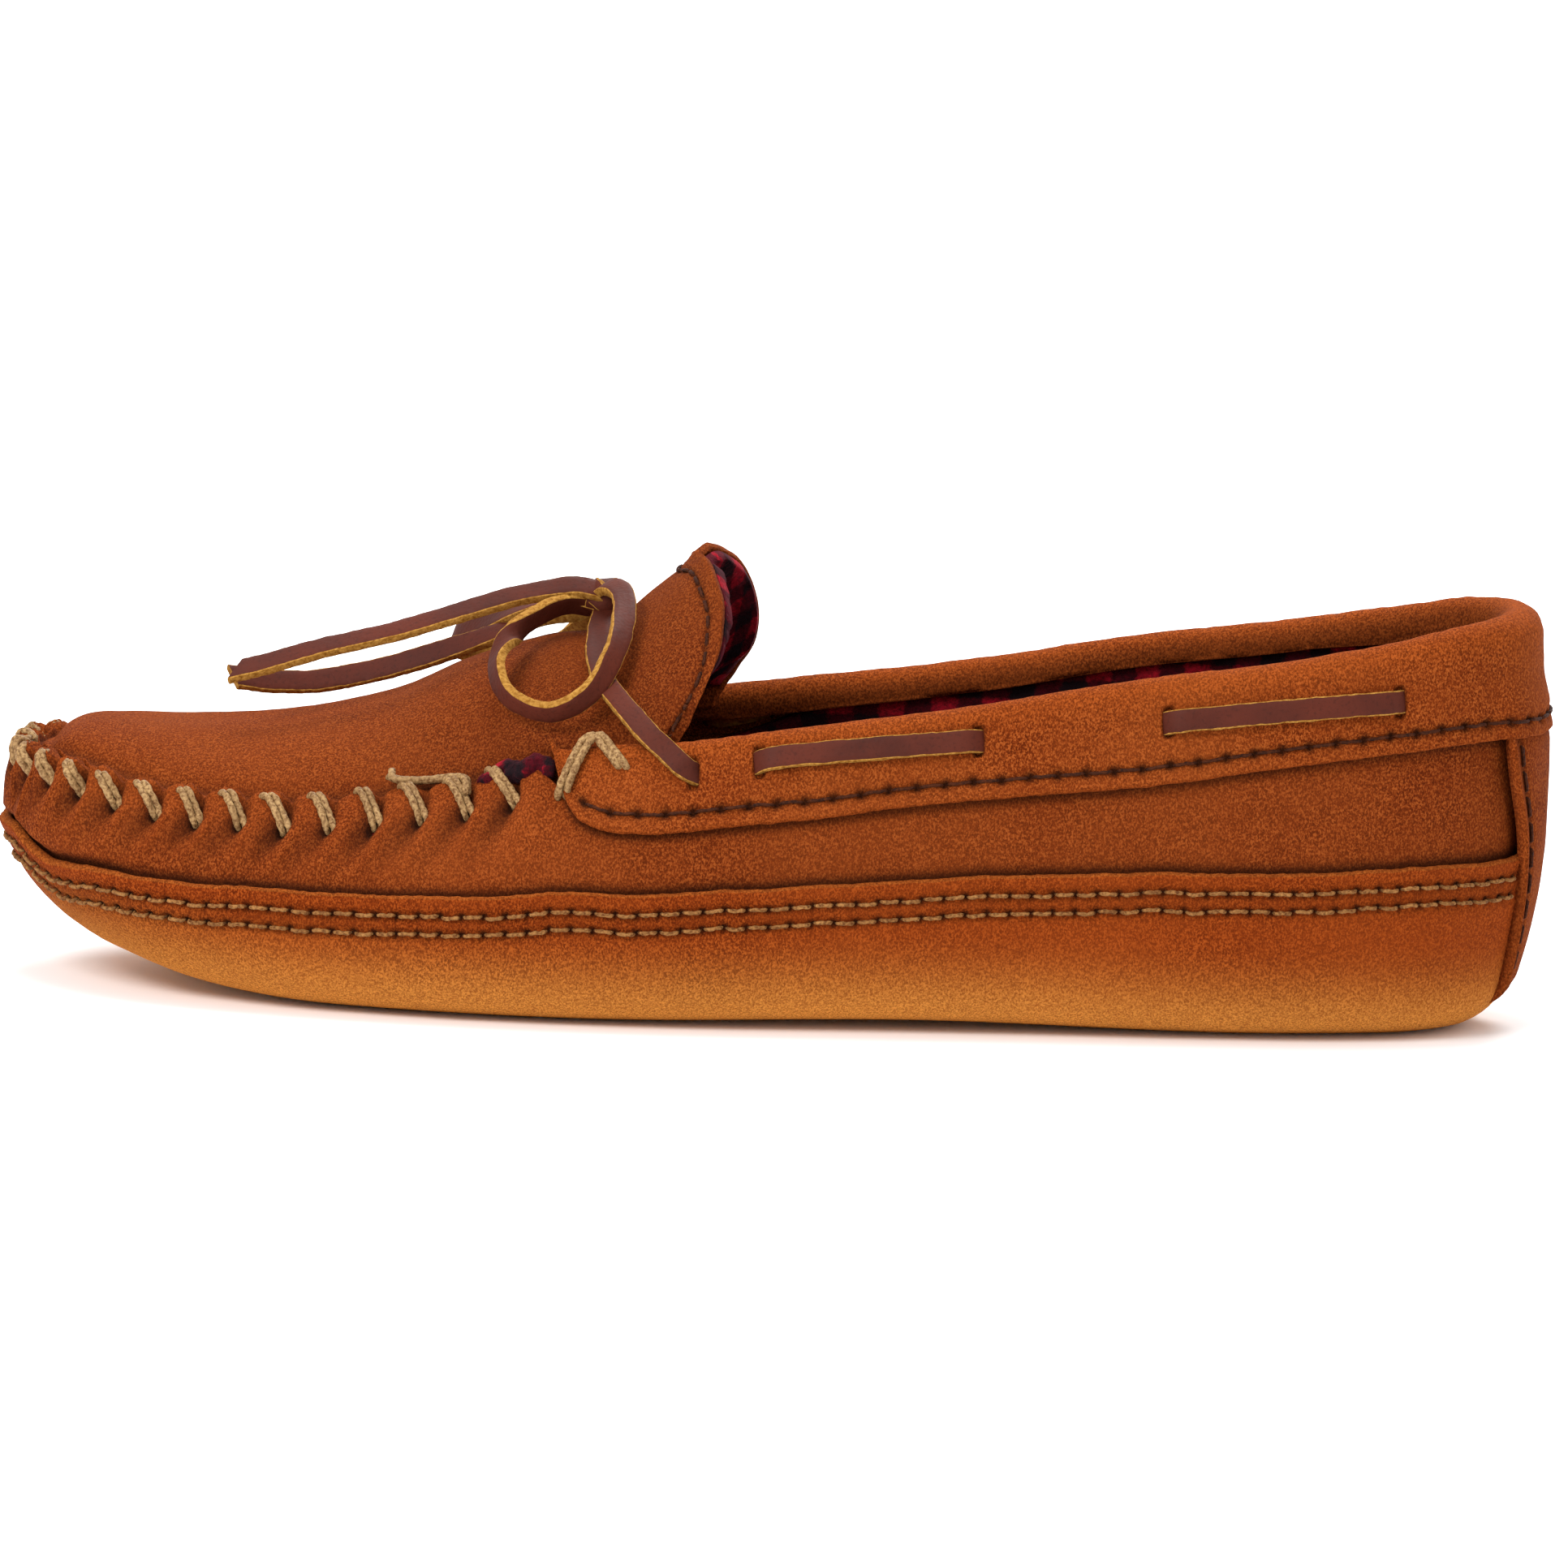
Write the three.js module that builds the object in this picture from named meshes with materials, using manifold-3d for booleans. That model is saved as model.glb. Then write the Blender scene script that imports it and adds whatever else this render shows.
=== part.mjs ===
// A left-foot suede moccasin slipper, in millimetres, +Z up.
//
// The toe points to -X and the heel to +X; the outer side of the foot is at -Y. A suede outer sole
// wraps up round a moccasin body, whose gathered toe is whip stitched to a plug. A rolled collar with
// a drawn leather lace closes the mouth, and a lined tongue stands behind the bow.
//
// Every layer is placed by its depth below one outer form: an outline seen from above, and a wall
// profile that leans in from it. Lengths along the shoe, x, run from 0 at the toe to LENGTH.
import * as THREE from "three";
import { mergeVertices } from "three/addons/utils/BufferGeometryUtils.js";
import Module from "manifold-3d";

const wasm = await Module();
wasm.setup();

// Driving dimensions
const LENGTH = 280;
const TOE_SPRING = 12; // rise of the sole's underside at the toe
const TOE_SPRING_FROM = 62; // x where the sole leaves the ground
const HINGE_X = 112; // the fold between plug and tongue
const COLLAR_FRONT = 99; // x of the collar's two front ends
const SUEDE = 1.6;
const OUTER_SOLE = 1.8;
const GAP = 0.5; // air kept between two layers
const PAD = 3.6;
const FLEECE = 2.5;
const INSOLE = 5;
const LACE = { width: 4.2, thick: 1.5 };

// Depths of the layers below the outer form, on the walls
const BODY_DEPTH = OUTER_SOLE + GAP;
const LINING_DEPTH = BODY_DEPTH + SUEDE + GAP;
const PLUG_EDGE_DEPTH = BODY_DEPTH + SUEDE + GAP;
const LACE_OUTSIDE = -(LACE.thick / 2 + 0.4);
const LACE_INSIDE = SUEDE + 0.4 + LACE.thick / 2;

// The outline from above, from the heel along the outer side to the toe and back
const OUTLINE = [
  [280, 0], [275.5, -16], [262, -28.5], [240, -36], [210, -40], [180, -43], [150, -47], [120, -50.5],
  [95, -51], [70, -48.5], [45, -43.5], [25, -36], [10, -24.5], [2.5, -11], [0, 3], [3, 17], [11, 30],
  [25, 41], [45, 48], [70, 51], [95, 50], [120, 46], [150, 41], [180, 38.5], [210, 37.5],
  [240, 34.5], [262, 27.5], [275.5, 15.5],
];

// Curves along the shoe, each through [x, value] points
const cornerWidth = curve([[0, 28], [30, 21], [60, 16], [120, 14], [250, 13], [280, 11]]);
const cornerHeight = curve([[0, 26], [30, 19], [60, 15], [120, 14], [250, 12], [280, 9]]);
const cornerPower = curve([[0, 1.7], [40, 2], [80, 2.2], [280, 2.2]]);
const widestHeight = curve([[0, 30], [30, 24], [95, 23], [200, 26], [255, 34], [280, 42]]);
const lowInset = curve([[0, 0], [60, 1], [200, 2], [255, 5], [280, 8]]);
const topInset = curve([
  [0, 2.5], [25, 6], [50, 9.5], [75, 12.5], [99, 13], [125, 12], [150, 9], [175, 7], [200, 6],
  [225, 6], [250, 4.5], [270, 2], [280, 1],
]);
const topHeight = curve([
  [0, 41], [10, 40.4], [23, 38.4], [46, 38], [60, 39], [73, 41], [86, 43.5], [99, 49.5], [125, 53.5],
  [146, 56.5], [175, 60.5], [205, 66], [234, 70.2], [254, 73.6], [268, 76], [280, 77],
]);
const seamHeight = curve([
  [0, 41], [10, 40.4], [23, 38.4], [46, 38], [60, 39], [73, 41], [86, 43.3], [97, 46], [112, 48],
]);
const wrapTop = curve([
  [0, 28], [3, 25], [8, 22.8], [75, 23.3], [147, 27.3], [206, 31], [274, 33], [280, 33.3],
]);
const collarBottom = curve([
  [99, 38.5], [104, 36.4], [112, 35.9], [139, 38.3], [171, 42.6],
  [205, 46.2], [242, 52], [263, 54.3], [280, 54.6],
]);
const collarThickness = curve([[99, 3.8], [125, 8.4], [138, 9.2], [280, 9.6]]);
const collarInnerDepth = curve([[99, 3.6], [125, 10], [280, 11]]);
const liningTop = curve([
  [0, 36], [30, 34.2], [60, 35], [97, 41], [112, 41.5], [125, 41.5], [138, 45.5], [150, 51.5], [205, 60.5],
  [280, 71.5],
]);
const laceHeight = curve([[125, 46.6], [138, 49], [177, 53.8], [211, 58.1], [253, 62.6], [280, 64.5]]);
const ridgeHeight = curve([
  [0, 41], [6.5, 41], [9, 43.2], [13, 45.2], [20, 46.1], [35, 46.5], [49, 48], [63, 51], [72, 54],
  [81, 58.6], [89.5, 62], [98, 64.6], [105, 65.8], [112, 69],
]);
const archPower = curve([[6, 4], [30, 3], [60, 2.4], [112, 2.1]]);

function curve(points) {
  const slope = points.map((p, i) => {
    if (i === 0 || i === points.length - 1) return 0;
    const before = (p[1] - points[i - 1][1]) / (p[0] - points[i - 1][0]);
    const after = (points[i + 1][1] - p[1]) / (points[i + 1][0] - p[0]);
    if (before * after <= 0) return 0;
    const least = 3 * Math.min(Math.abs(before), Math.abs(after));
    return Math.sign(before) * Math.min(Math.abs(before + after) / 2, least);
  });
  return (x) => {
    const last = points.length - 1;
    if (x <= points[0][0]) return points[0][1];
    if (x >= points[last][0]) return points[last][1];
    const i = points.findIndex((p) => p[0] > x) - 1;
    const [x0, v0] = points[i];
    const [x1, v1] = points[i + 1];
    const h = x1 - x0;
    const t = (x - x0) / h;
    const a = 2 * t ** 3 - 3 * t ** 2 + 1;
    const b = t ** 3 - 2 * t ** 2 + t;
    const d = t ** 3 - t ** 2;
    return a * v0 + b * h * slope[i] + (1 - a) * v1 + d * h * slope[i + 1];
  };
}

const mix = (a, b, t) => a + (b - a) * t;
const smooth = (t) => {
  const c = Math.min(1, Math.max(0, t));
  return c * c * (3 - 2 * c);
};
const floorHeight = (x) => TOE_SPRING * Math.max(0, (TOE_SPRING_FROM - x) / TOE_SPRING_FROM) ** 2;

// The outline as a closed curve: s runs from 0 at the heel to 1, the toe at about half way.
const outlineCurve = new THREE.CatmullRomCurve3(
  OUTLINE.map(([x, y]) => new THREE.Vector3(x, y, 0)),
  true,
  "centripetal",
);
outlineCurve.arcLengthDivisions = 2000;
const wrapped = (s) => s - Math.floor(s);

function outline(s) {
  const p = outlineCurve.getPointAt(wrapped(s));
  const t = outlineCurve.getTangentAt(wrapped(s));
  return { x: p.x, y: p.y, nx: -t.y, ny: t.x };
}

const TOE_S = (() => {
  let best = 0.5;
  for (let s = 0.4; s < 0.6; s += 0.0005) {
    if (outline(s).x < outline(best).x) best = s;
  }
  return best;
})();

// The s of a given x on one side: -1 is the outer side of the foot, 1 the inner side.
function sideAt(x, side) {
  let near = side < 0 ? 0 : 1;
  let far = TOE_S;
  for (let i = 0; i < 40; i++) {
    const middle = (near + far) / 2;
    if (outline(middle).x > x) near = middle;
    else far = middle;
  }
  return (near + far) / 2;
}

// How far the wall stands in from the outline at height z, for the x of its outline point.
function inset(x, z, base) {
  const width = cornerWidth(x);
  const share = Math.min(1, Math.max(0, (z - base) / cornerHeight(x)));
  const n = cornerPower(x);
  const corner = width * (1 - (1 - (1 - share) ** n) ** (1 / n));
  const widest = widestHeight(x);
  const lean =
    z < widest
      ? lowInset(x) * ((widest - z) / widest) ** 2
      : topInset(x) * ((z - widest) / (topHeight(x) - widest)) ** 2;
  return corner + lean;
}

function onForm(s, z) {
  const o = outline(s);
  const edge = cornerWidth(o.x) + lowInset(o.x);
  const base = floorHeight(o.x - o.nx * edge);
  const w = inset(o.x, Math.max(z, base), base);
  return new THREE.Vector3(o.x - o.nx * w, o.y - o.ny * w, Math.max(z, base));
}

function baseHeight(s) {
  const o = outline(s);
  return floorHeight(o.x - o.nx * (cornerWidth(o.x) + lowInset(o.x)));
}

function formNormal(s, z) {
  const along = onForm(s + 0.002, z).sub(onForm(s - 0.002, z));
  const up = onForm(s, z + 0.1).sub(onForm(s, z - 0.1));
  return up.cross(along).normalize();
}

// A point at a depth below the form; a negative depth stands outside it.
function layer(s, z, depth) {
  return onForm(s, z).addScaledVector(formNormal(s, z), -depth);
}

// Joins rings of equally many points into one closed solid. Each end is closed by a ladder from a
// ring's first half to its second half. Each four-sided face is split along its shorter diagonal, so
// that neighbouring layers are split alike.
function loft(rings, cyclic = false) {
  const count = rings[0].length;
  const points = rings.flat();
  const positions = points.flatMap((p) => [p.x, p.y, p.z]);
  const faces = [];
  const quad = (a, b, c, d) => {
    const ac = points[a].distanceTo(points[c]);
    const bd = points[b].distanceTo(points[d]);
    if (ac <= bd) faces.push(a, b, c, a, c, d);
    else faces.push(a, b, d, b, c, d);
  };
  const joins = cyclic ? rings.length : rings.length - 1;
  for (let r = 0; r < joins; r++) {
    const next = (r + 1) % rings.length;
    for (let j = 0; j < count; j++) {
      const k = (j + 1) % count;
      quad(r * count + j, r * count + k, next * count + k, next * count + j);
    }
  }
  if (!cyclic) {
    const end = (rings.length - 1) * count;
    for (let j = 0; j < count / 2 - 1; j++) {
      const [a, b, c, d] = [j, j + 1, count - 2 - j, count - 1 - j];
      quad(end + a, end + b, end + c, end + d);
      quad(d, c, b, a);
    }
  }
  const geometry = new THREE.BufferGeometry();
  geometry.setAttribute("position", new THREE.Float32BufferAttribute(positions, 3));
  geometry.setIndex(faces);
  return facingOut(geometry);
}

function facingOut(geometry) {
  const p = geometry.attributes.position;
  const faces = geometry.index.array;
  const [a, b, c] = [new THREE.Vector3(), new THREE.Vector3(), new THREE.Vector3()];
  let volume = 0;
  for (let i = 0; i < faces.length; i += 3) {
    a.fromBufferAttribute(p, faces[i]);
    b.fromBufferAttribute(p, faces[i + 1]);
    c.fromBufferAttribute(p, faces[i + 2]);
    volume += a.dot(b.cross(c));
  }
  if (volume < 0) {
    for (let i = 0; i < faces.length; i += 3) [faces[i + 1], faces[i + 2]] = [faces[i + 2], faces[i + 1]];
  }
  return geometry;
}

function solidOf(geometry) {
  const bare = new THREE.BufferGeometry();
  bare.setAttribute("position", geometry.getAttribute("position"));
  bare.setIndex(geometry.index);
  const merged = mergeVertices(bare, 1e-4);
  return new wasm.Manifold(
    new wasm.Mesh({
      numProp: 3,
      vertProperties: new Float32Array(merged.attributes.position.array),
      triVerts: new Uint32Array(merged.index.array),
    }),
  );
}

function geometryOf(solid) {
  const mesh = solid.getMesh();
  const geometry = new THREE.BufferGeometry();
  geometry.setAttribute("position", new THREE.BufferAttribute(new Float32Array(mesh.vertProperties), 3));
  geometry.setIndex(new THREE.BufferAttribute(new Uint32Array(mesh.triVerts), 1));
  return geometry;
}

const spread = (count, from, to) => Array.from({ length: count }, (_, i) => mix(from, to, i / (count - 1)));

// Places round the outline, closer together at the toe and heel. They start half a step off the
// heel's middle, so that a ladder across the shoe closes the sole.
const AROUND = 54;
const turns = Array.from({ length: AROUND }, (_, i) => {
  const t = (i + 0.5) / AROUND;
  return t - 0.03 * Math.sin(4 * Math.PI * t);
});

// Every wall layer has rings at the same shares of the height to the outer sole's edge, then at the
// same shares of what is above it.
const LOW_SHARES = [0, 0.04, 0.14, 0.32, 0.62, 1];
const HIGH_SHARES = [0.25, 0.5, 0.75, 1];

function heights(s, top) {
  const x = outline(s).x;
  const base = baseHeight(s);
  const low = LOW_SHARES.map((share) => mix(base, wrapTop(x), share));
  return top ? [...low, ...HIGH_SHARES.map((share) => mix(wrapTop(x), top(x), share))] : low;
}

// A closed tub: outer rings from the sole up to top(x), then inner rings back down.
function tub(top, outerDepth, thickness) {
  const count = heights(0, top).length;
  const ring = (level, extra) =>
    turns.map((s) => {
      const z = heights(s, top)[level];
      const base = baseHeight(s);
      const depth = outerDepth((z - base) / cornerHeight(outline(s).x)) + extra;
      return level > 0 ? layer(s, z, depth) : onForm(s, base).add(new THREE.Vector3(0, 0, depth));
    });
  const levels = Array.from({ length: count }, (_, i) => i);
  return loft([
    ...levels.map((level) => ring(level, 0)),
    ...levels.reverse().map((level) => ring(level, thickness)),
  ]);
}

function outerSole() {
  return tub(null, () => 0, OUTER_SOLE);
}

// The moccasin body lies on the pad under the foot and against the outer sole on the walls.
const bodyDepth = (share) => BODY_DEPTH + (PAD + GAP) * (1 - smooth(share * 1.9));
const bodyTop = (x) => {
  const underCollar = collarBottom(x) + 6.3;
  return mix(seamHeight(x), underCollar, smooth((x - 96) / 5));
};

function moccasinBody() {
  return tub(bodyTop, bodyDepth, SUEDE);
}

// A pad under the foot, following the toe spring. Its edge stands in from the outline by edge().
function pad(edge, bottom, thickness) {
  const ring = (height, extra) =>
    turns.map((s) => {
      const o = outline(s);
      const w = edge(o, baseHeight(s)) + extra;
      const x = o.x - o.nx * w;
      return new THREE.Vector3(x, o.y - o.ny * w, floorHeight(x) + height);
    });
  return loft([ring(bottom, 1), ring(bottom + thickness / 2, 0), ring(bottom + thickness, 1)]);
}

function midsolePad() {
  return pad((o) => cornerWidth(o.x) + lowInset(o.x) + 1, BODY_DEPTH, PAD);
}

function insole() {
  const bottom = BODY_DEPTH + PAD + GAP + SUEDE + GAP;
  const clear = LINING_DEPTH + FLEECE + GAP;
  return pad((o, base) => inset(o.x, base + bottom - 5, base) + clear, bottom, INSOLE);
}

// The fleece wall lining, a closed band from the insole up to the seam or into the collar.
function wallLining() {
  const ring = (level, depth) => turns.map((s) => layer(s, heights(s, liningTop)[level], depth));
  const levels = Array.from({ length: LOW_SHARES.length + HIGH_SHARES.length - 4 }, (_, i) => i + 4);
  const outside = levels.map((level) => ring(level, LINING_DEPTH));
  const inside = levels.reverse().map((level) => ring(level, LINING_DEPTH + FLEECE));
  return loft([...outside, ...inside], true);
}

// The collar: a band whose top rolls over to the inside, swept from one front end round the heel to
// the other, with slots where the lace goes through.
function collarRing(s) {
  const x = outline(s).x;
  const top = topHeight(x);
  const thick = collarThickness(x);
  const radius = thick / 2;
  const shoulder = top - radius;
  const normal = formNormal(s, shoulder);
  const centre = layer(s, shoulder, radius);
  const up = onForm(s, shoulder + 0.1).sub(onForm(s, shoulder - 0.1)).normalize();
  const hairpin = (depth, r) => {
    const wall = spread(3, collarBottom(x), shoulder - 0.5).map((z) => layer(s, z, depth));
    const roll = [0, 45, 90, 135, 180].map((degrees) => {
      const a = THREE.MathUtils.degToRad(degrees);
      return centre.clone().addScaledVector(normal, r * Math.cos(a)).addScaledVector(up, r * Math.sin(a));
    });
    const hem = layer(s, top - collarInnerDepth(x) - 0.5, thick - depth);
    return [...wall, ...roll, hem];
  };
  return [...hairpin(0, radius), ...hairpin(SUEDE, radius - SUEDE).reverse()];
}

const COLLAR_FROM = sideAt(COLLAR_FRONT, -1);
const COLLAR_TO = sideAt(COLLAR_FRONT, 1) - 1;

function collar() {
  const rings = spread(42, COLLAR_FROM, COLLAR_TO).map(collarRing);
  const band = solidOf(loft(rings));
  const cutter = solidOf(laceRibbon(LACE.width + 0.8, LACE.thick + 0.9));
  return geometryOf(band.subtract(cutter));
}

// A flat strap swept along points, each with the direction that its grain side faces.
function strap(points, facings, width, thick) {
  const rings = points.map((p, i) => {
    const before = points[Math.max(0, i - 1)];
    const after = points[Math.min(points.length - 1, i + 1)];
    const along = after.clone().sub(before).normalize();
    const face = facings[i].clone().addScaledVector(along, -facings[i].dot(along)).normalize();
    const across = new THREE.Vector3().crossVectors(along, face);
    const corner = (a, b) =>
      p.clone().addScaledVector(across, (a * width) / 2).addScaledVector(face, (b * thick) / 2);
    return [corner(-1, -1), corner(1, -1), corner(1, 1), corner(-1, 1)];
  });
  return loft(rings);
}

// The lace lies outside the collar over these stretches of x, and inside it elsewhere.
const LACE_SHOWN = [[138, 177], [211, 253]];
const LACE_HOLE = 126;
const LACE_DIVE = 6; // length over which the lace passes through a slot
const BEFORE_TOE = -50; // an x ahead of the shoe, where every stretch of lace has begun

function laceDepth(x) {
  const outside = (from, to) => smooth((x - from) / LACE_DIVE + 0.5) * smooth((to - x) / LACE_DIVE + 0.5);
  const alongCollar = LACE_SHOWN.reduce((sum, [from, to]) => sum + outside(from, to), 0);
  const share = outside(BEFORE_TOE, LACE_HOLE) + alongCollar;
  return mix(LACE_INSIDE, LACE_OUTSIDE, Math.min(1, share));
}

// From the knot over the plug and the collar's edge to the first hole, on each side.
const LACE_LEAD = {
  "-1": [[107, -4.5, 68.6], [106.6, -12, 66.9], [106.6, -21, 62.8], [107.6, -28, 58], [110.5, -34.5, 54.6]],
  1: [[107, 4.5, 68.6], [106.6, 11, 66.9], [106.6, 19, 62.6], [107.6, 25.5, 57.8], [110.5, 31.6, 54.8]],
};
const LACE_LEAD_FACE = [[0, 0.1, 1], [0, 0.35, 1], [0, 0.7, 1], [0, 0.9, 1], [0, 0.9, 0.9]];

function lacePath() {
  const points = [];
  const facings = [];
  const lead = (side) =>
    LACE_LEAD[side].map(([x, y, z], i) => {
      const [fx, fy, fz] = LACE_LEAD_FACE[i];
      return [new THREE.Vector3(x, y, z), new THREE.Vector3(fx, fy * side, fz)];
    });
  const add = ([point, facing]) => {
    points.push(point);
    facings.push(facing);
  };
  lead(-1).forEach(add);
  const from = sideAt(116, -1);
  const to = sideAt(116, 1) - 1;
  spread(112, from, to).forEach((s) => {
    const x = outline(s).x;
    const z = laceHeight(x) + 3.4 * smooth((LACE_HOLE - x) / 11);
    add([layer(s, z, laceDepth(x)), formNormal(s, z)]);
  });
  lead(1).reverse().forEach(add);
  return { points, facings };
}

function laceRibbon(width, thick) {
  const { points, facings } = lacePath();
  return strap(points, facings, width, thick);
}

// The plug: rungs from the outer seam over the foot to the inner seam, from the toe to the hinge.
const edgeDepth = (x) =>
  x < COLLAR_FRONT ? PLUG_EDGE_DEPTH : Math.max(PLUG_EDGE_DEPTH, collarThickness(x) + 0.7);

function seamEnd(side, x) {
  const s = sideAt(x, side);
  return layer(s, seamHeight(x), edgeDepth(x));
}

function plugPoint(share, u, depth) {
  const end = HINGE_X - 1;
  const outer = mix(TOE_S, sideAt(end, -1), share);
  const inner = mix(TOE_S, sideAt(end, 1), share);
  const [a, b] = [outer, inner].map((s) => {
    const x = outline(s).x;
    return layer(s, seamHeight(x), edgeDepth(x) + (depth ? 0.3 : 0));
  });
  const p = a.clone().lerp(b, (u + 1) / 2);
  const rise = ridgeHeight((a.x + b.x) / 2) - p.z;
  const arch = 1 - Math.abs(u) ** archPower(p.x);
  p.z += Math.max(0, rise) * arch - depth;
  return p;
}

// The rung positions bunch towards the edges, where the arch is steepest.
const across = spread(11, -1, 1).map((u) => Math.sin((u * Math.PI) / 2));

function plugSheet(top, bottom, rungs, columns) {
  return loft(
    rungs.map((share) => [
      ...columns.map((u) => plugPoint(share, u, top)),
      ...[...columns].reverse().map((u) => plugPoint(share, u, bottom)),
    ]),
  );
}

const RUNGS = [0.02, 0.06, 0.12, 0.2, 0.3, 0.4, 0.5, 0.6, 0.7, 0.79, 0.86, 0.93, 1];

function plug() {
  return plugSheet(0, SUEDE, RUNGS, across);
}

function plugLining() {
  return plugSheet(SUEDE + GAP, SUEDE + GAP + FLEECE, RUNGS.slice(1), across.slice(1, -1));
}

// The tongue: arched sections from the hinge to the free edge, leaning back as they rise.
const TONGUE = { root: HINGE_X + 0.8, tip: 125.3, footTip: 124.5, bulge: 3.4 };
const tongueRidge = curve([[112, 69], [114, 72], [118.4, 77.3], [123.4, 82.2], [125.3, 83.2]]);

function tonguePoint(v, u, depth) {
  const foot = mix(TONGUE.root + 3.8, TONGUE.footTip, v);
  const side = u < 0 ? -1 : 1;
  const inside = collarThickness(foot) + 5;
  const wall = layer(sideAt(foot, side), topHeight(foot) - 4, inside);
  const half = Math.abs(wall.y) - depth;
  const footHeight = mix(48.5, 47, v);
  const ridgeX = mix(TONGUE.root, TONGUE.tip, v);
  const height = tongueRidge(ridgeX) - footHeight - depth;
  const t = Math.abs(u);
  const arch = Math.max(0, 1 - t ** 2.1) ** (1 / (1 + v));
  const x = mix(ridgeX, foot, t ** 2) + TONGUE.bulge * v * Math.sin(Math.PI * t ** 2);
  return new THREE.Vector3(x, side * t * half, footHeight + height * arch);
}

function tongueSheet(top, bottom) {
  return loft(
    spread(6, 0, 1).map((v) => [
      ...across.map((u) => tonguePoint(v, u, top)),
      ...[...across].reverse().map((u) => tonguePoint(v, u, bottom)),
    ]),
  );
}

// The heel strap covers the back seam outside the sole and the body, narrowing downwards.
const strapHalfWidth = curve([[0, 10], [17, 10.5], [33, 12.5], [56, 17]]);
const PERIMETER = outlineCurve.getLength();

function heelStrap() {
  const top = collarBottom(LENGTH) - 0.8;
  const heights = [3.4, 6, 11, 20, 32, 43, top];
  return loft(
    heights.map((z) => {
      const half = strapHalfWidth(z) / PERIMETER;
      const columns = spread(7, -half, half);
      return [
        ...columns.map((s) => layer(s, z, -GAP - SUEDE)),
        ...[...columns].reverse().map((s) => layer(s, z, -GAP)),
      ];
    }),
  );
}

// Threads: a thin strap along a seam line, just clear of the piece it holds.
const THREAD = 0.8;

function threadAlong(places, facings) {
  return strap(places, facings, THREAD, THREAD * 0.75);
}

function soleStitch(below) {
  const half = (strapHalfWidth(30) + 1.5) / PERIMETER;
  const run = spread(60, half, 1 - half);
  const height = (s) => wrapTop(outline(s).x) - below;
  return threadAlong(
    run.map((s) => layer(s, height(s), -0.8)),
    run.map((s) => formNormal(s, height(s))),
  );
}

function collarStitch() {
  const run = spread(44, COLLAR_FROM - 0.004, COLLAR_TO + 0.004);
  const height = (s) => collarBottom(outline(s).x) + 3;
  return threadAlong(
    run.map((s) => layer(s, height(s), -0.8)),
    run.map((s) => formNormal(s, height(s))),
  );
}

function heelStitch(side) {
  const heights = spread(9, 12, collarBottom(LENGTH) - 1.5);
  const place = (z) => (side * (strapHalfWidth(z) - 2.6)) / PERIMETER;
  return threadAlong(
    heights.map((z) => layer(place(z), z, -GAP - SUEDE - 0.8)),
    heights.map((z) => formNormal(place(z), z)),
  );
}

function tongueStitch() {
  const run = spread(22, -0.96, 0.96).map((u) => Math.sin((u * Math.PI) / 2) * 0.97);
  const places = run.map((u) => tonguePoint(0.78, u, -0.9));
  const facings = run.map((u) => new THREE.Vector3(-0.6, Math.sin(u * 1.4), 0.8));
  return threadAlong(places, facings);
}

// The whip stitch: one thick thread that goes over the seam from the body's outside to the plug and
// back. Each place is a depth below the form and a height above the seam.
const WHIP = { stitches: 29, radius: 0.9 };
const WHIP_OUTSIDE = [BODY_DEPTH - WHIP.radius - GAP, -4.6];
const WHIP_RIDGE = [BODY_DEPTH - WHIP.radius - GAP, 1.6];
const WHIP_PLUG = [PLUG_EDGE_DEPTH + 1.2, 4.6];

function rod(points, radius, sides) {
  const rings = points.map((p, i) => {
    const after = points[Math.min(points.length - 1, i + 1)];
    const along = after.clone().sub(points[Math.max(0, i - 1)]).normalize();
    const side = new THREE.Vector3(0, 0, 1).cross(along).normalize();
    const other = new THREE.Vector3().crossVectors(along, side);
    return Array.from({ length: sides }, (_, k) => {
      const turn = (k * 2 * Math.PI) / sides;
      const out = p.clone().addScaledVector(side, radius * Math.cos(turn));
      return out.addScaledVector(other, radius * Math.sin(turn));
    });
  });
  return loft(rings);
}

function whipStitch() {
  const from = sideAt(COLLAR_FRONT - 3, -1);
  const to = sideAt(COLLAR_FRONT - 3, 1);
  const zigzag = [WHIP_OUTSIDE, WHIP_RIDGE, WHIP_PLUG, WHIP_RIDGE];
  const places = spread(WHIP.stitches * zigzag.length + 1, from, to);
  const points = places.map((s, i) => {
    const [depth, height] = zigzag[i % zigzag.length];
    const onWall = seamHeight(outline(s).x) + Math.min(0, height);
    return layer(s, onWall, depth).add(new THREE.Vector3(0, 0, Math.max(0, height)));
  });
  return rod(points, WHIP.radius, 6);
}

// The bow: a knot, two loops and two tails, all of the one lace.
const KNOT = { x: 106, y: 0, z: 70.6 };

const NEAR_LOOP = [
  [100, -4, 71], [94.5, -9, 69], [89.8, -17, 65.4], [88.5, -24, 61.2], [91.5, -30, 57],
  [99, -34.4, 55.4], [105.4, -33.4, 58.6], [109.3, -27, 65.6], [111, -16.5, 71.6], [109.6, -9.5, 73.8],
];
const NEAR_LOOP_FACE = [
  [0, -0.5, -0.8], [-0.2, -0.7, -0.5], [-0.5, -0.8, 0], [-0.5, -0.85, 0], [-0.2, -0.8, -0.5],
  [0, -0.8, -0.6], [0.3, -0.9, -0.3], [0.4, -0.9, 0], [0.3, -0.7, 0.5], [0, -0.3, 1],
];
const FAR_LOOP = [
  [100, 4.5, 70.5], [92.5, 13, 67.4], [84.5, 23, 63], [78.8, 30.5, 59.2], [79.8, 35.5, 56.4],
  [87, 37.8, 55], [96.5, 34.2, 57.4], [103, 25, 64], [107, 14, 71.6],
];
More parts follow.
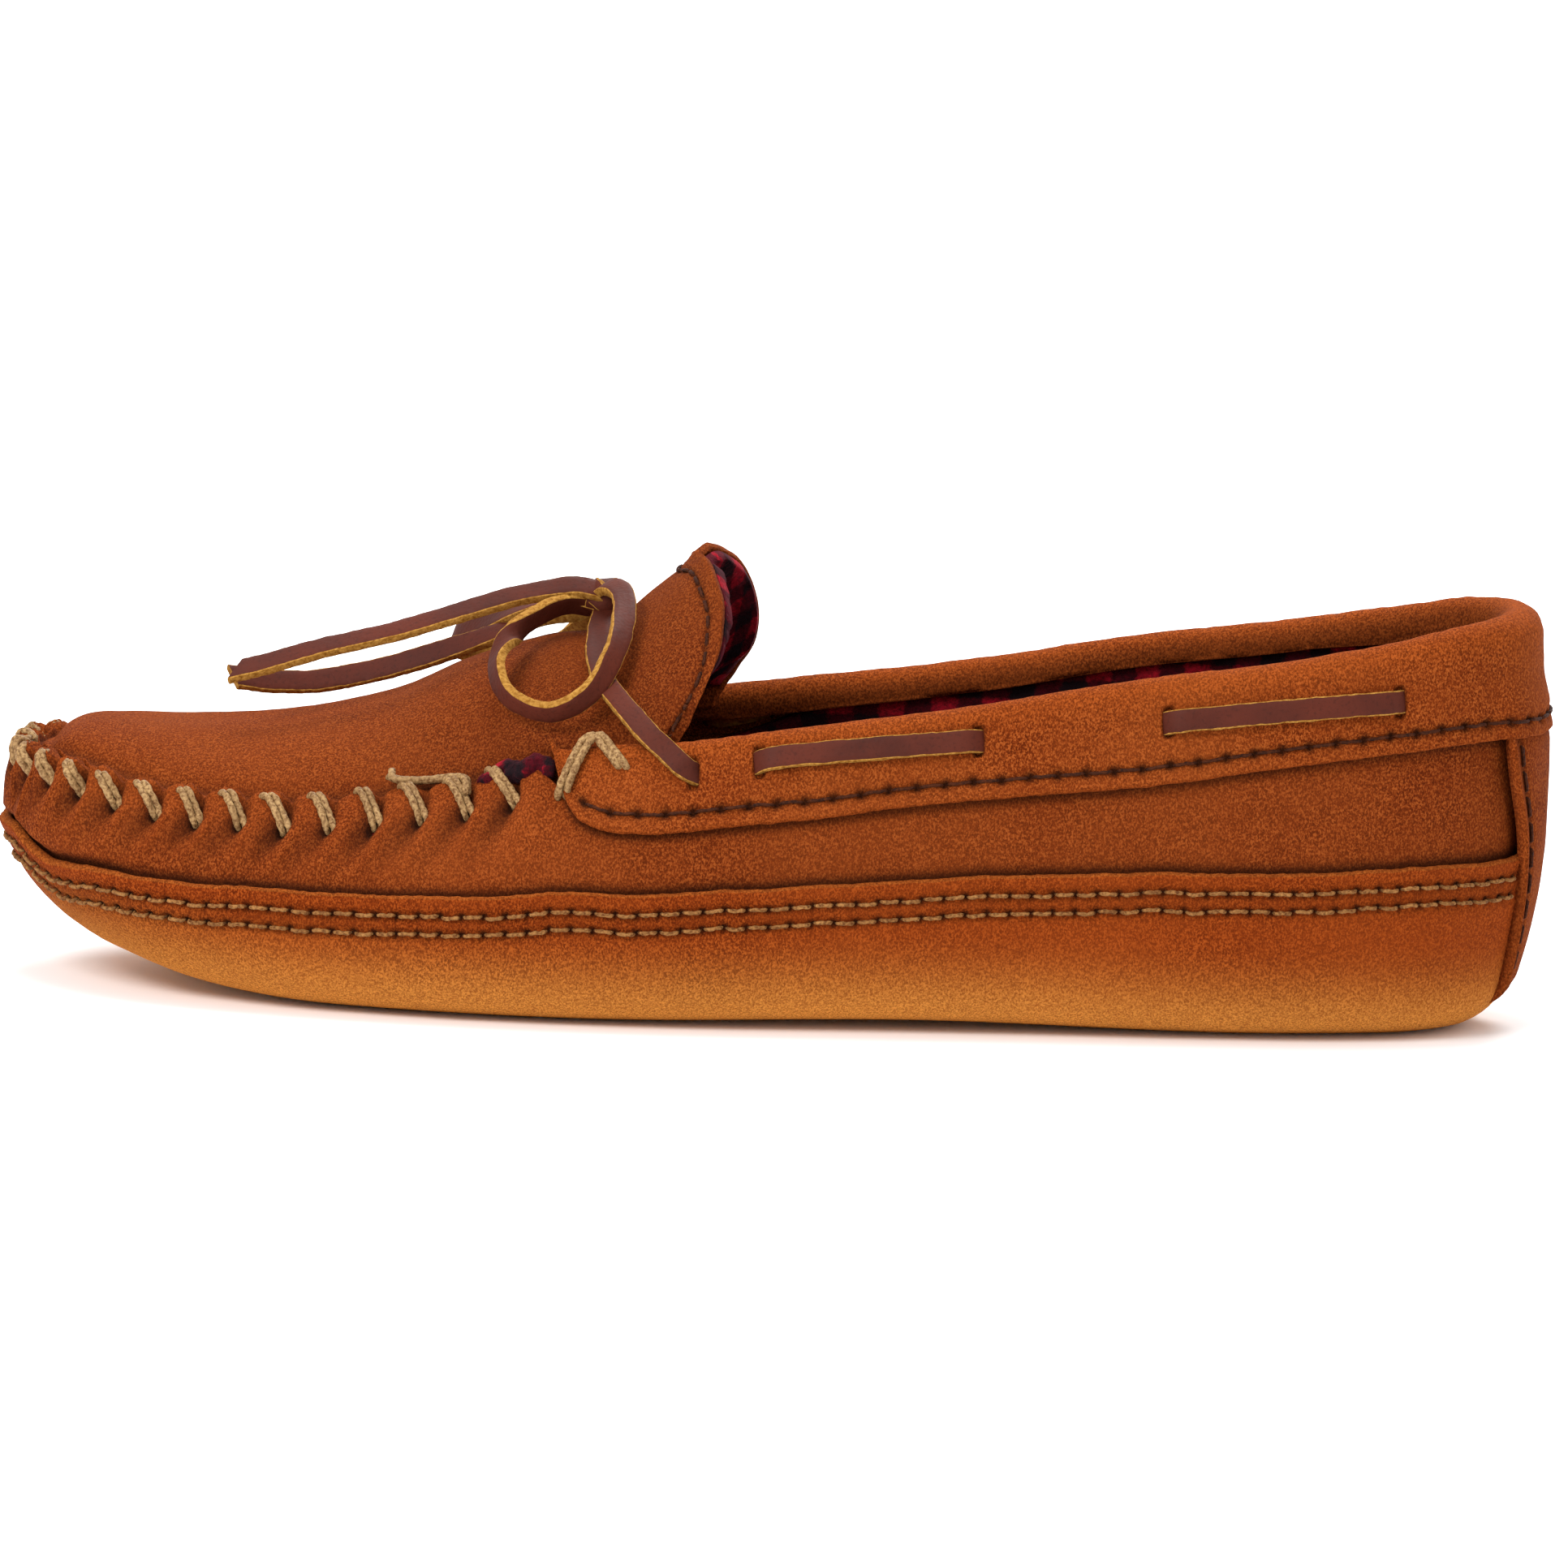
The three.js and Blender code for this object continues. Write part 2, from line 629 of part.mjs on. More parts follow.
const FAR_LOOP_FACE = [
  [0, 0.4, 0.9], [0, 0.6, 0.8], [-0.3, 0.7, 0.6], [-0.8, 0.6, 0.3], [-0.4, 0.9, 0],
  [0, 0.9, -0.3], [0.2, 0.9, 0], [0.3, 0.7, 0.5], [0.2, 0.3, 1],
];
const NEAR_TAIL = [
  [99.6, -1.5, 74.4], [92, -3.5, 72.6], [80.4, -6, 68.8], [68.7, -8, 65.2], [57, -9.5, 61.7],
  [46.8, -10.5, 58.9], [40.6, -11, 57.2],
];
const FAR_TAIL = [
  [99.4, 4, 67.8], [90, 14, 63.5], [78, 18, 58.6], [66, 19, 54.4],
  [54, 18, 51.8], [46, 16.5, 51.6], [38.7, 15, 52.4],
];
const FLAT_FACE = [[0, -0.35, 1]];

function bowPiece(path, faces) {
  const route = new THREE.CatmullRomCurve3(path.map((p) => new THREE.Vector3(...p)), false, "centripetal");
  const steps = path.length * 3;
  const facePoints = faces.map((f) => new THREE.Vector3(...f));
  const facingRoute = new THREE.CatmullRomCurve3(facePoints, false, "centripetal");
  const points = spread(steps, 0, 1).map((t) => route.getPoint(t));
  const facings = spread(steps, 0, 1).map((t) => facingRoute.getPoint(t));
  return strap(points, facings, LACE.width, LACE.thick);
}

function knot() {
  const ball = new THREE.SphereGeometry(1, 12, 8);
  ball.scale(4.6, 3.2, 3.1);
  ball.translate(KNOT.x, KNOT.y, KNOT.z);
  return ball;
}

// Materials
const finish = (color, roughness) => new THREE.MeshStandardMaterial({ color, roughness, metalness: 0 });
const suede = finish(0xa9591f, 0.95);
const soleSuede = finish(0xb5662a, 0.95);
const fleece = finish(0x5c1018, 1);
const foam = finish(0xd8cdb8, 0.9);
const leather = finish(0x5e332b, 0.5);
const hempThread = finish(0xa8926a, 0.8);
const soleThread = finish(0x8d7150, 0.8);
const darkThread = finish(0x4a2a1a, 0.8);

const flatFaces = (faces, count) => (faces.length === 1 ? Array(count).fill(faces[0]) : faces);

const pieces = [
  ["outer_sole", outerSole(), soleSuede],
  ["midsole_pad", midsolePad(), foam],
  ["moccasin_body", moccasinBody(), suede],
  ["wall_lining", wallLining(), fleece],
  ["insole", insole(), fleece],
  ["plug", plug(), suede],
  ["plug_lining", plugLining(), fleece],
  ["tongue", tongueSheet(0, SUEDE), suede],
  ["tongue_lining", tongueSheet(SUEDE + GAP, SUEDE + GAP + FLEECE), fleece],
  ["tongue_stitching", tongueStitch(), darkThread],
  ["collar", collar(), suede],
  ["collar_stitching", collarStitch(), darkThread],
  ["heel_strap", heelStrap(), suede],
  ["heel_strap_stitching_outer_side", heelStitch(1), darkThread],
  ["heel_strap_stitching_inner_side", heelStitch(-1), darkThread],
  ["sole_stitching_upper", soleStitch(3.6), soleThread],
  ["sole_stitching_lower", soleStitch(7), soleThread],
  ["toe_whip_stitching", whipStitch(), hempThread],
  ["lace", laceRibbon(LACE.width, LACE.thick), leather],
  ["bow_knot", knot(), leather],
  ["near_bow_loop", bowPiece(NEAR_LOOP, NEAR_LOOP_FACE), leather],
  ["far_bow_loop", bowPiece(FAR_LOOP, FAR_LOOP_FACE), leather],
  ["near_bow_tail", bowPiece(NEAR_TAIL, flatFaces(FLAT_FACE, NEAR_TAIL.length)), leather],
  ["far_bow_tail", bowPiece(FAR_TAIL, flatFaces(FLAT_FACE, FAR_TAIL.length)), leather],
];

const moccasin = new THREE.Group();
for (const [name, geometry, material] of pieces) {
  const mesh = new THREE.Mesh(geometry, material);
  mesh.name = name;
  moccasin.add(mesh);
}
const box = new THREE.Box3().setFromObject(moccasin);
moccasin.position.set(-(box.min.x + box.max.x) / 2, -(box.min.y + box.max.y) / 2, -box.min.z);

export default moccasin;
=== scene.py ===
"""A left-foot suede moccasin slipper: its looks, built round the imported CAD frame.

Shapes are worked out in the shoe's own millimetres, x from 0 at the toe to 280 at the heel, y towards the
inner side of the foot and z up, and placed in the frame in metres. Each leather or fleece layer lies at a
depth below one outer form, so that no layer cuts through its neighbour.
"""

import math

import bpy
import numpy as np
from mathutils import Matrix, Vector


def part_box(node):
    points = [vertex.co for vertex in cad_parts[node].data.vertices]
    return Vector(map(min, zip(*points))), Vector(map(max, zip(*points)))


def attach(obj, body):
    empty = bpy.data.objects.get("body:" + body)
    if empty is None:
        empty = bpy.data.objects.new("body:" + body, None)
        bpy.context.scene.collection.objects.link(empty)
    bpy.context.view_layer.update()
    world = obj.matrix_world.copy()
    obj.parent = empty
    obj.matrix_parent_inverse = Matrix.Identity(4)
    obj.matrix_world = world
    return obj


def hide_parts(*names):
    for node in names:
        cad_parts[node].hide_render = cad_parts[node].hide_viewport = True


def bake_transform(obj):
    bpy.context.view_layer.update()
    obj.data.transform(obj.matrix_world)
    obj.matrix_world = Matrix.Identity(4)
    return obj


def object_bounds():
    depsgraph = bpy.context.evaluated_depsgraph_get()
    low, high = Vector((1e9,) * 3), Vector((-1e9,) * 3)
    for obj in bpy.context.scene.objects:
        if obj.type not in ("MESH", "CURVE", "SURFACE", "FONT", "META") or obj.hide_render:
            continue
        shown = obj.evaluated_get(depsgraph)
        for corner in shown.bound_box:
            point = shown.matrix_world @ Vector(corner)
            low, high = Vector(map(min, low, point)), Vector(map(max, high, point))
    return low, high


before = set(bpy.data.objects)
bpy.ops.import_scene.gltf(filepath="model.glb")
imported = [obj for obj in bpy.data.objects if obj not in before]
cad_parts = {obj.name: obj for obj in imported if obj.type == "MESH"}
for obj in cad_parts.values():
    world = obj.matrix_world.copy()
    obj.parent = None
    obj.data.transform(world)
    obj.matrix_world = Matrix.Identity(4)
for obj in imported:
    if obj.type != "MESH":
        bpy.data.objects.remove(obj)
CAD_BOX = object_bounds()

MM = 0.001
KNOT_MIDDLE = np.array([106.0, 0.0, 70.6])
knot_low, knot_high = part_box("bow_knot")
SHIFT = (np.array(knot_low) + np.array(knot_high)) / 2 - KNOT_MIDDLE * MM


def placed(points):
    return np.asarray(points, float) * MM + SHIFT


# ---- camera

CAMERA_DISTANCE = 4.0
CAMERA_AZIMUTH = math.radians(1.5)
CAMERA_ELEVATION = math.radians(8.4)
CAMERA_ROLL = math.radians(2.0)
CAMERA_AIM = np.array([140.6, 0.0, 38.8])  # millimetres, on the shoe
CAMERA_LENS = 504.0

camera = bpy.data.objects.new("camera", bpy.data.cameras.new("camera"))
bpy.context.collection.objects.link(camera)
back = Vector(
    (
        math.sin(CAMERA_AZIMUTH) * math.cos(CAMERA_ELEVATION),
        -math.cos(CAMERA_AZIMUTH) * math.cos(CAMERA_ELEVATION),
        math.sin(CAMERA_ELEVATION),
    )
)
level = Vector((math.cos(CAMERA_AZIMUTH), math.sin(CAMERA_AZIMUTH), 0))
upright = back.cross(level)
right = level * math.cos(CAMERA_ROLL) + upright * math.sin(CAMERA_ROLL)
turned = Matrix((right, back.cross(right), back)).transposed()
eye = Vector(placed(CAMERA_AIM)) + back * CAMERA_DISTANCE
camera.matrix_world = Matrix.Translation(eye) @ turned.to_4x4()
camera.data.lens = CAMERA_LENS
camera.data.clip_end = 100
bpy.context.scene.camera = camera
bpy.context.scene.view_settings.view_transform = "Standard"


# ---- the form


def curve(points):
    """A smooth curve with no overshoot through [x, value] points."""
    xs, vs = np.array(points, float).T
    h = np.diff(xs)
    d = np.diff(vs) / h
    m = np.zeros(len(xs))
    for i in range(1, len(xs) - 1):
        if d[i - 1] * d[i] > 0:
            m[i] = np.sign(d[i]) * min(abs(d[i - 1] + d[i]) / 2, 3 * min(abs(d[i - 1]), abs(d[i])))

    def at(x):
        x = np.clip(x, xs[0], xs[-1])
        i = np.clip(np.searchsorted(xs, x, "right") - 1, 0, len(h) - 1)
        t = (x - xs[i]) / h[i]
        a = 2 * t**3 - 3 * t**2 + 1
        return (
            a * vs[i]
            + (t**3 - 2 * t**2 + t) * h[i] * m[i]
            + (1 - a) * vs[i + 1]
            + (t**3 - t**2) * h[i] * m[i + 1]
        )

    return at


def mix(a, b, t):
    return a + (b - a) * t


def smooth(t):
    c = np.clip(t, 0, 1)
    return c * c * (3 - 2 * c)


def bump(t):
    """1 at 0, falling smoothly to 0 at 1 and beyond, on both sides."""
    return 1 - smooth(np.abs(t))


def hill(distance, width):
    """1 at no distance, falling off as a bell does."""
    return np.exp(-((distance / width) ** 2))


def by_column(at, given, values):
    """The columns of values, which belong to the places given, read off at other places."""
    return np.stack([np.interp(at, given, column) for column in np.asarray(values, float).T], 1)


def blurred(values, weights):
    """The columns of values, each point averaged with its neighbours."""
    kernel = np.array(weights) / sum(weights)
    pad = len(kernel) // 2
    padded = (np.pad(column, pad, mode="edge") for column in values.T)
    return np.stack([np.convolve(column, kernel, "valid") for column in padded], 1)


def run_along(points):
    """The length along the points, from 0 at the first."""
    return np.concatenate([[0], np.cumsum(np.linalg.norm(np.diff(points, axis=0), axis=1))])


OUTLINE = [
    (278.4, 0), (274.4, -16), (261.5, -28.5), (240, -36), (210, -40), (180, -43), (150, -47),
    (120, -50.5), (95, -51), (70, -48.5), (45, -43.5), (24.2, -36), (8.4, -24.5), (0.4, -11), (-2.3, 3),
    (0.9, 17), (9.6, 30), (24.4, 41), (45, 48), (70, 51), (95, 50), (120, 46), (150, 41), (180, 38.5),
    (210, 37.5), (240, 34.5), (261.5, 27.5), (274.4, 15.5),
]  # fmt: skip

corner_width = curve([(0, 28), (30, 21), (60, 16), (120, 14), (250, 12), (280, 8.5)])
corner_height = curve([(0, 26), (30, 19), (60, 15), (120, 14), (250, 11), (280, 7.5)])
corner_power = curve([(0, 1.7), (40, 2), (80, 2.2), (280, 2.2)])
widest_height = curve([(0, 30), (30, 24), (95, 23), (200, 26), (255, 34), (280, 42)])
low_inset = curve([(0, 0), (60, 1), (200, 2), (255, 5), (280, 8)])
top_inset = curve([
    (0, 2.5), (25, 6), (50, 9.5), (75, 12.5), (99, 13), (125, 12), (150, 9), (175, 7), (200, 6), (225, 6),
    (250, 4.5), (270, 2), (280, 1),
])  # fmt: skip
top_height = curve([
    (0, 41), (10, 40.4), (23, 38.4), (46, 38), (60, 39), (73, 41), (86, 43.5), (99, 49.5), (125, 53.5),
    (146, 56.5), (175, 60.5), (205, 66), (234, 70.2), (254, 73.6), (268, 76), (280, 77),
])  # fmt: skip
seam_height = curve([
    (0, 41), (10, 40.4), (23, 38.4), (46, 38), (60, 39), (73, 41), (86, 43.3), (97, 46), (112, 48),
])  # fmt: skip
wrap_top = curve([(0, 28), (3, 25), (8, 22.8), (75, 23.3), (147, 27.3), (206, 31), (274, 33), (280, 33.3)])
body_lap = curve([(99, 44.8), (104, 42.7), (112, 42.2), (139, 44.6), (171, 48.9), (205, 52.5), (280, 60.9)])
collar_bottom = curve([
    (99, 49.4), (100.3, 46.4), (102, 42.2), (104, 39.2), (106.5, 37.4), (110, 36.3), (115, 35.9),
    (120, 36.1), (139, 38.3), (171, 42.6), (205, 46.2), (242, 52), (263, 54.3), (280, 54.6),
])  # fmt: skip
collar_thickness = curve([(99, 3.4), (112, 4.8), (125, 7.4), (138, 7.9), (280, 8.4)])
collar_inner_depth = curve([(99, 2.6), (112, 4.6), (125, 4.9), (225, 4.9), (255, 8), (280, 10)])
lining_top = curve([
    (0, 36), (30, 34.2), (60, 35), (97, 41), (112, 41.5), (125, 41.5), (138, 45.5), (150, 51.5),
    (205, 60.5), (280, 71.5),
])  # fmt: skip
lace_height = curve([(125, 46.6), (138, 49), (177, 53.8), (211, 58.1), (253, 62.6), (280, 64.5)])
ridge_height = curve([
    (0, 41), (6.5, 41), (9, 43.6), (13, 45.6), (20, 46.1), (35, 46.5), (49, 48), (63, 51), (72, 54),
    (81, 58.6), (89.5, 62), (98, 64.6), (105, 65.8), (112, 69),
])  # fmt: skip
arch_power = curve([(6, 4), (30, 3), (60, 2.4), (112, 2.1)])

COLLAR_FRONT = 99
HINGE_X = 112
SUEDE = 1.6
OUTER_SOLE = 1.8
GAP = 0.5
PAD = 3.6
FLEECE = 2.5
INSOLE = 5.0
LACE_WIDTH = 4.2
LACE_THICK = 1.5
BODY_DEPTH = OUTER_SOLE + GAP
LINING_DEPTH = BODY_DEPTH + SUEDE + GAP


TOE_SPRING = 12
TOE_SPRING_FROM = 62
ARCH_RISE = 1.2
ARCH_MIDDLE = 165
ARCH_REACH = 62


def floor_height(x):
    """The sole's underside: it lifts under the toe and a little under the arch."""
    arch = ARCH_RISE * bump((x - ARCH_MIDDLE) / ARCH_REACH)
    return TOE_SPRING * np.maximum(0, (TOE_SPRING_FROM - x) / TOE_SPRING_FROM) ** 2 + arch


def middle_line(x):
    """The y of the long middle line under the foot."""
    return mix(1.5, 0.0, smooth((x - 60) / 80))


def catmull_rom(p0, p1, p2, p3, count):
    """Points from p1 towards p2 on a centripetal Catmull-Rom curve."""
    a, b, c = (max(np.linalg.norm(v), 1e-6) ** 0.5 for v in (p1 - p0, p2 - p1, p3 - p2))
    m1 = ((p1 - p0) / a - (p2 - p0) / (a + b) + (p2 - p1) / b) * b
    m2 = ((p2 - p1) / b - (p3 - p1) / (b + c) + (p3 - p2) / c) * b
    t = np.linspace(0, 1, count, endpoint=False)[:, None]
    h = 2 * t**3 - 3 * t**2 + 1
    return h * p1 + (t**3 - 2 * t**2 + t) * m1 + (1 - h) * p2 + (t**3 - t**2) * m2


def closed_route(points, per_segment):
    """A smooth closed curve through the points, back to its start."""
    p = np.array(points, float)
    fours = ([p[(i + k) % len(p)] for k in (-1, 0, 1, 2)] for i in range(len(p)))
    route = np.vstack([catmull_rom(*four, per_segment) for four in fours])
    return np.vstack([route, route[:1]])


dense = closed_route(OUTLINE, 240)
steps = np.linalg.norm(np.diff(dense, axis=0), axis=1)
PERIMETER = steps.sum()
dense_s = np.concatenate([[0], np.cumsum(steps)]) / PERIMETER
SAMPLES = 6000
sample_s = np.arange(SAMPLES + 1) / SAMPLES
outline_xy = by_column(sample_s, dense_s, dense)
tangent = np.roll(outline_xy[:-1], -4, 0) - np.roll(outline_xy[:-1], 4, 0)
tangent /= np.linalg.norm(tangent, axis=1)[:, None]
tangent = np.vstack([tangent, tangent[:1]])
TOE_S = sample_s[np.argmin(outline_xy[:, 0])]


def outline(s):
    """The form's widest outline: x, y and the outward normal, s of the way round from the heel."""
    s = np.asarray(s, float) % 1.0
    x, y = (np.interp(s, sample_s, outline_xy[:, k]) for k in (0, 1))
    tx, ty = (np.interp(s, sample_s, tangent[:, k]) for k in (0, 1))
    return x, y, -ty, tx


near_half = sample_s <= TOE_S
far_half = sample_s >= TOE_S


def side_at(x, side):
    """The s where the outline is at x: side -1 is the outer side of the foot, 1 the inner side."""
    half = near_half if side < 0 else far_half
    xs = outline_xy[half, 0]
    ss = sample_s[half]
    return np.interp(x, xs[::-1], ss[::-1]) if side < 0 else np.interp(x, xs, ss)


def inset(x, z, base):
    """How far the form's wall stands in from the outline at the height z."""
    share = np.clip((z - base) / corner_height(x), 0, 1)
    n = corner_power(x)
    corner = corner_width(x) * (1 - (1 - (1 - share) ** n) ** (1 / n))
    widest = widest_height(x)
    low = low_inset(x) * ((widest - z) / widest) ** 2
    high = top_inset(x) * ((z - widest) / (top_height(x) - widest)) ** 2
    return corner + np.where(z < widest, low, high)


def base_height(s):
    """The height at which the wall leaves the underside."""
    x, _, nx, _ = outline(s)
    return floor_height(x - nx * (corner_width(x) + low_inset(x)))


def on_form(s, z):
    """The form's wall at the height z."""
    x, y, nx, ny = outline(s)
    base = floor_height(x - nx * (corner_width(x) + low_inset(x)))
    z = np.maximum(z, base)
    w = inset(x, z, base)
    return np.stack(np.broadcast_arrays(x - nx * w, y - ny * w, z), -1)


def unit(v):
    return v / np.maximum(np.linalg.norm(v, axis=-1, keepdims=True), 1e-9)


def form_normal(s, z):
    along = on_form(s + 0.002, z) - on_form(s - 0.002, z)
    up = on_form(s, z + 0.1) - on_form(s, z - 0.1)
    return unit(np.cross(up, along))


def layer(s, z, depth):
    """Points at a depth below the form's wall."""
    s, z, depth = np.broadcast_arrays(s, z, depth)
    return on_form(s, z) - form_normal(s, z) * depth[..., None]


def lattice(i, j, k, seed):
    """A fixed value from -1 to 1 for each whole-number point."""
    n = (i * 374761393 + j * 668265263 + k * 2147483647 + seed * 974711) & 0xFFFFFFFF
    n = ((n ^ (n >> 13)) * 1274126177) & 0xFFFFFFFF
    return ((n ^ (n >> 16)) & 0xFFFF) / 32767.5 - 1


def noise(points, size, seed=0):
    """Smooth value noise from -1 to 1, with features of the given size in millimetres."""
    p = np.asarray(points, float) / size + 500
    i = np.floor(p).astype(np.int64)
    f = p - i
    f = f * f * (3 - 2 * f)
    total = 0
    for dx in (0, 1):
        for dy in (0, 1):
            for dz in (0, 1):
                weight = np.abs(1 - dx - f[..., 0]) * np.abs(1 - dy - f[..., 1]) * np.abs(1 - dz - f[..., 2])
                total = total + weight * lattice(i[..., 0] + dx, i[..., 1] + dy, i[..., 2] + dz, seed)
    return total


def rough(points, *terms):
    """Several noises together, each given as (height, size, seed)."""
    return sum(height * noise(points, size, seed) for height, size, seed in terms)


# ---- meshes


def new_object(name, vertices, faces, materials, body, nodes, attributes=None, face_material=None):
    """A mesh object from points in millimetres: it rides on the body and replaces the CAD nodes."""
    mesh = bpy.data.meshes.new(name)
    vertices = placed(vertices)
    quads = np.asarray(faces, np.int64)
    mesh.vertices.add(len(vertices))
    mesh.vertices.foreach_set("co", vertices.ravel())
    mesh.loops.add(quads.size)
    mesh.loops.foreach_set("vertex_index", quads.ravel())
    mesh.polygons.add(len(quads))
    mesh.polygons.foreach_set("loop_start", np.arange(len(quads)) * quads.shape[1])
    mesh.polygons.foreach_set("use_smooth", np.ones(len(quads), bool))
    for material in materials:
        mesh.materials.append(material)
    if face_material is not None:
        mesh.polygons.foreach_set("material_index", np.asarray(face_material, np.int32))
    for key, values in (attributes or {}).items():
        values = np.asarray(values, float)
        kind, field = ("FLOAT_VECTOR", "vector") if values.ndim == 2 else ("FLOAT", "value")
        mesh.attributes.new(key, kind, "POINT").data.foreach_set(field, values.ravel())
    mesh.update(calc_edges=True)
    mesh.validate()
    obj = bpy.data.objects.new(name, mesh)
    bpy.context.collection.objects.link(obj)
    if body:
        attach(obj, body)
    if nodes:
        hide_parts(*nodes)
    return obj


def grid_faces(rows, columns, wrap_rows):
    """Four-sided faces over rows of closed loops, with ladders over the two ends if the rows don't wrap."""
    r = np.arange(rows if wrap_rows else rows - 1)[:, None]
    c = np.arange(columns)[None, :]
    first, second = r * columns, (r + 1) % rows * columns
    c2 = (c + 1) % columns
    corners = (first + c, first + c2, second + c2, second + c)
    faces = np.stack(np.broadcast_arrays(*corners), -1).reshape(-1, 4)
    if wrap_rows:
        return faces
    j = np.arange(columns // 2 - 1)
    start = np.stack([columns - 1 - j, columns - 2 - j, j + 1, j], -1)
    end = start[:, ::-1] + (rows - 1) * columns
    return np.vstack([faces, start, end])


def facing_out(vertices, faces):
    """The faces of a closed mesh, turned round if they look inwards."""
    a, b, c, d = (vertices[faces[:, k]] for k in range(4))
    volume = np.einsum("ij,ij->", a, np.cross(b, c)) + np.einsum("ij,ij->", a, np.cross(c, d))
    return faces if volume > 0 else faces[:, ::-1]


def loft(name, grid, materials, body, nodes, wrap=False, attributes=None):
    """A closed mesh from rows of closed loops: grid is rows by loop points by 3."""
    rows, columns = grid.shape[:2]
    faces = grid_faces(rows, columns, wrap)
    vertices = grid.reshape(-1, 3)
    faces = facing_out(vertices, faces)
    flat = {k: np.asarray(v).reshape(rows * columns, -1).squeeze() for k, v in (attributes or {}).items()}
    return new_object(name, vertices, faces, materials, body, nodes, flat)


def tubes(paths, facing, radius, sides, lobes, twist, taper=0.35):
    """Vertices and faces of twisted threads: paths is threads by points by 3, facing the same shape."""
    paths = np.asarray(paths, float)
    count, length = paths.shape[:2]
    along = unit(np.gradient(paths, axis=1))
    side = unit(np.cross(along, facing))
    other = np.cross(side, along)
    angle = np.arange(sides) * 2 * np.pi / sides
    phase = np.stack([run_along(path) for path in paths]) * (np.pi / twist)
    r = radius * (1 - lobes + lobes * np.abs(np.cos(angle[None, None, :] - phase[..., None])) * 1.3)
    from_end = np.minimum(np.arange(length), np.arange(length)[::-1])
    r = r * np.minimum(1, taper + (1 - taper) * from_end / 1.6)[None, :, None]
    ring = (
        paths[:, :, None, :]
        + side[:, :, None, :] * (r * np.cos(angle))[..., None]
        + other[:, :, None, :] * (r * np.sin(angle))[..., None]
    )
    faces = facing_out(ring[0].reshape(-1, 3), grid_faces(length, sides, False))
    offset = (np.arange(count) * length * sides)[:, None, None]
    return ring.reshape(-1, 3), (faces[None] + offset).reshape(-1, 4)


# Radius, sides, how deep the valleys between plies are, millimetres of a twist, and the ends' thickness.
SOLE_PLIES = (0.38, 8, 0.24, 1.5)
HEM_PLIES = (0.36, 8, 0.2, 1.6)
FINE_PLIES = (0.32, 8, 0.2, 1.6)
WHIP_PLIES = (0.68, 12, 0.26, 2.3, 0.8)
TIED_PLIES = (0.74, 12, 0.24, 2.3, 0.85)
FLEECE_ROLL = (1.9, 26, 0.0, 2.2, 0.4)


def threads(name, material, slot, nodes, *shape, body="shoe", dark=0.0):
    """One object of twisted threads; the shape is what tubes() takes."""
    vertices, faces = tubes(*shape)
    marks = {"dark": np.zeros(len(vertices)) + dark}
    return new_object(name, vertices, faces, [material], body, nodes, marks)


def stitch_places(holes, gap, t):
    """Places along each stitch, from one hole to the next but for a share of the way free at both ends."""
    return mix(holes[:-1, None], holes[1:, None], gap + (1 - 2 * gap) * t[None, :])


def stitch_depth(t, ends, middle, steepness):
    """The depth along one stitch: it dives into the leather at both ends."""
    return mix(ends, middle, np.minimum(1, np.sin(np.pi * t) * steepness))


def bands(size, *parts):
    """The marks of a loft's loops, side by side: a list of columns as it is, or a flat (value, count)."""
    columns = []
    for part in parts:
        columns += part if isinstance(part, list) else [np.full(size, float(part[0]))] * part[1]
    return np.stack(columns, 1)


def even_loops(grid):
    """The grid with one more point in each loop if their number is odd."""
    if grid.shape[1] % 2:
        grid = np.concatenate([grid, mix(grid[:, -1:], grid[:, :1], 0.5)], 1)
    return grid


# ---- materials


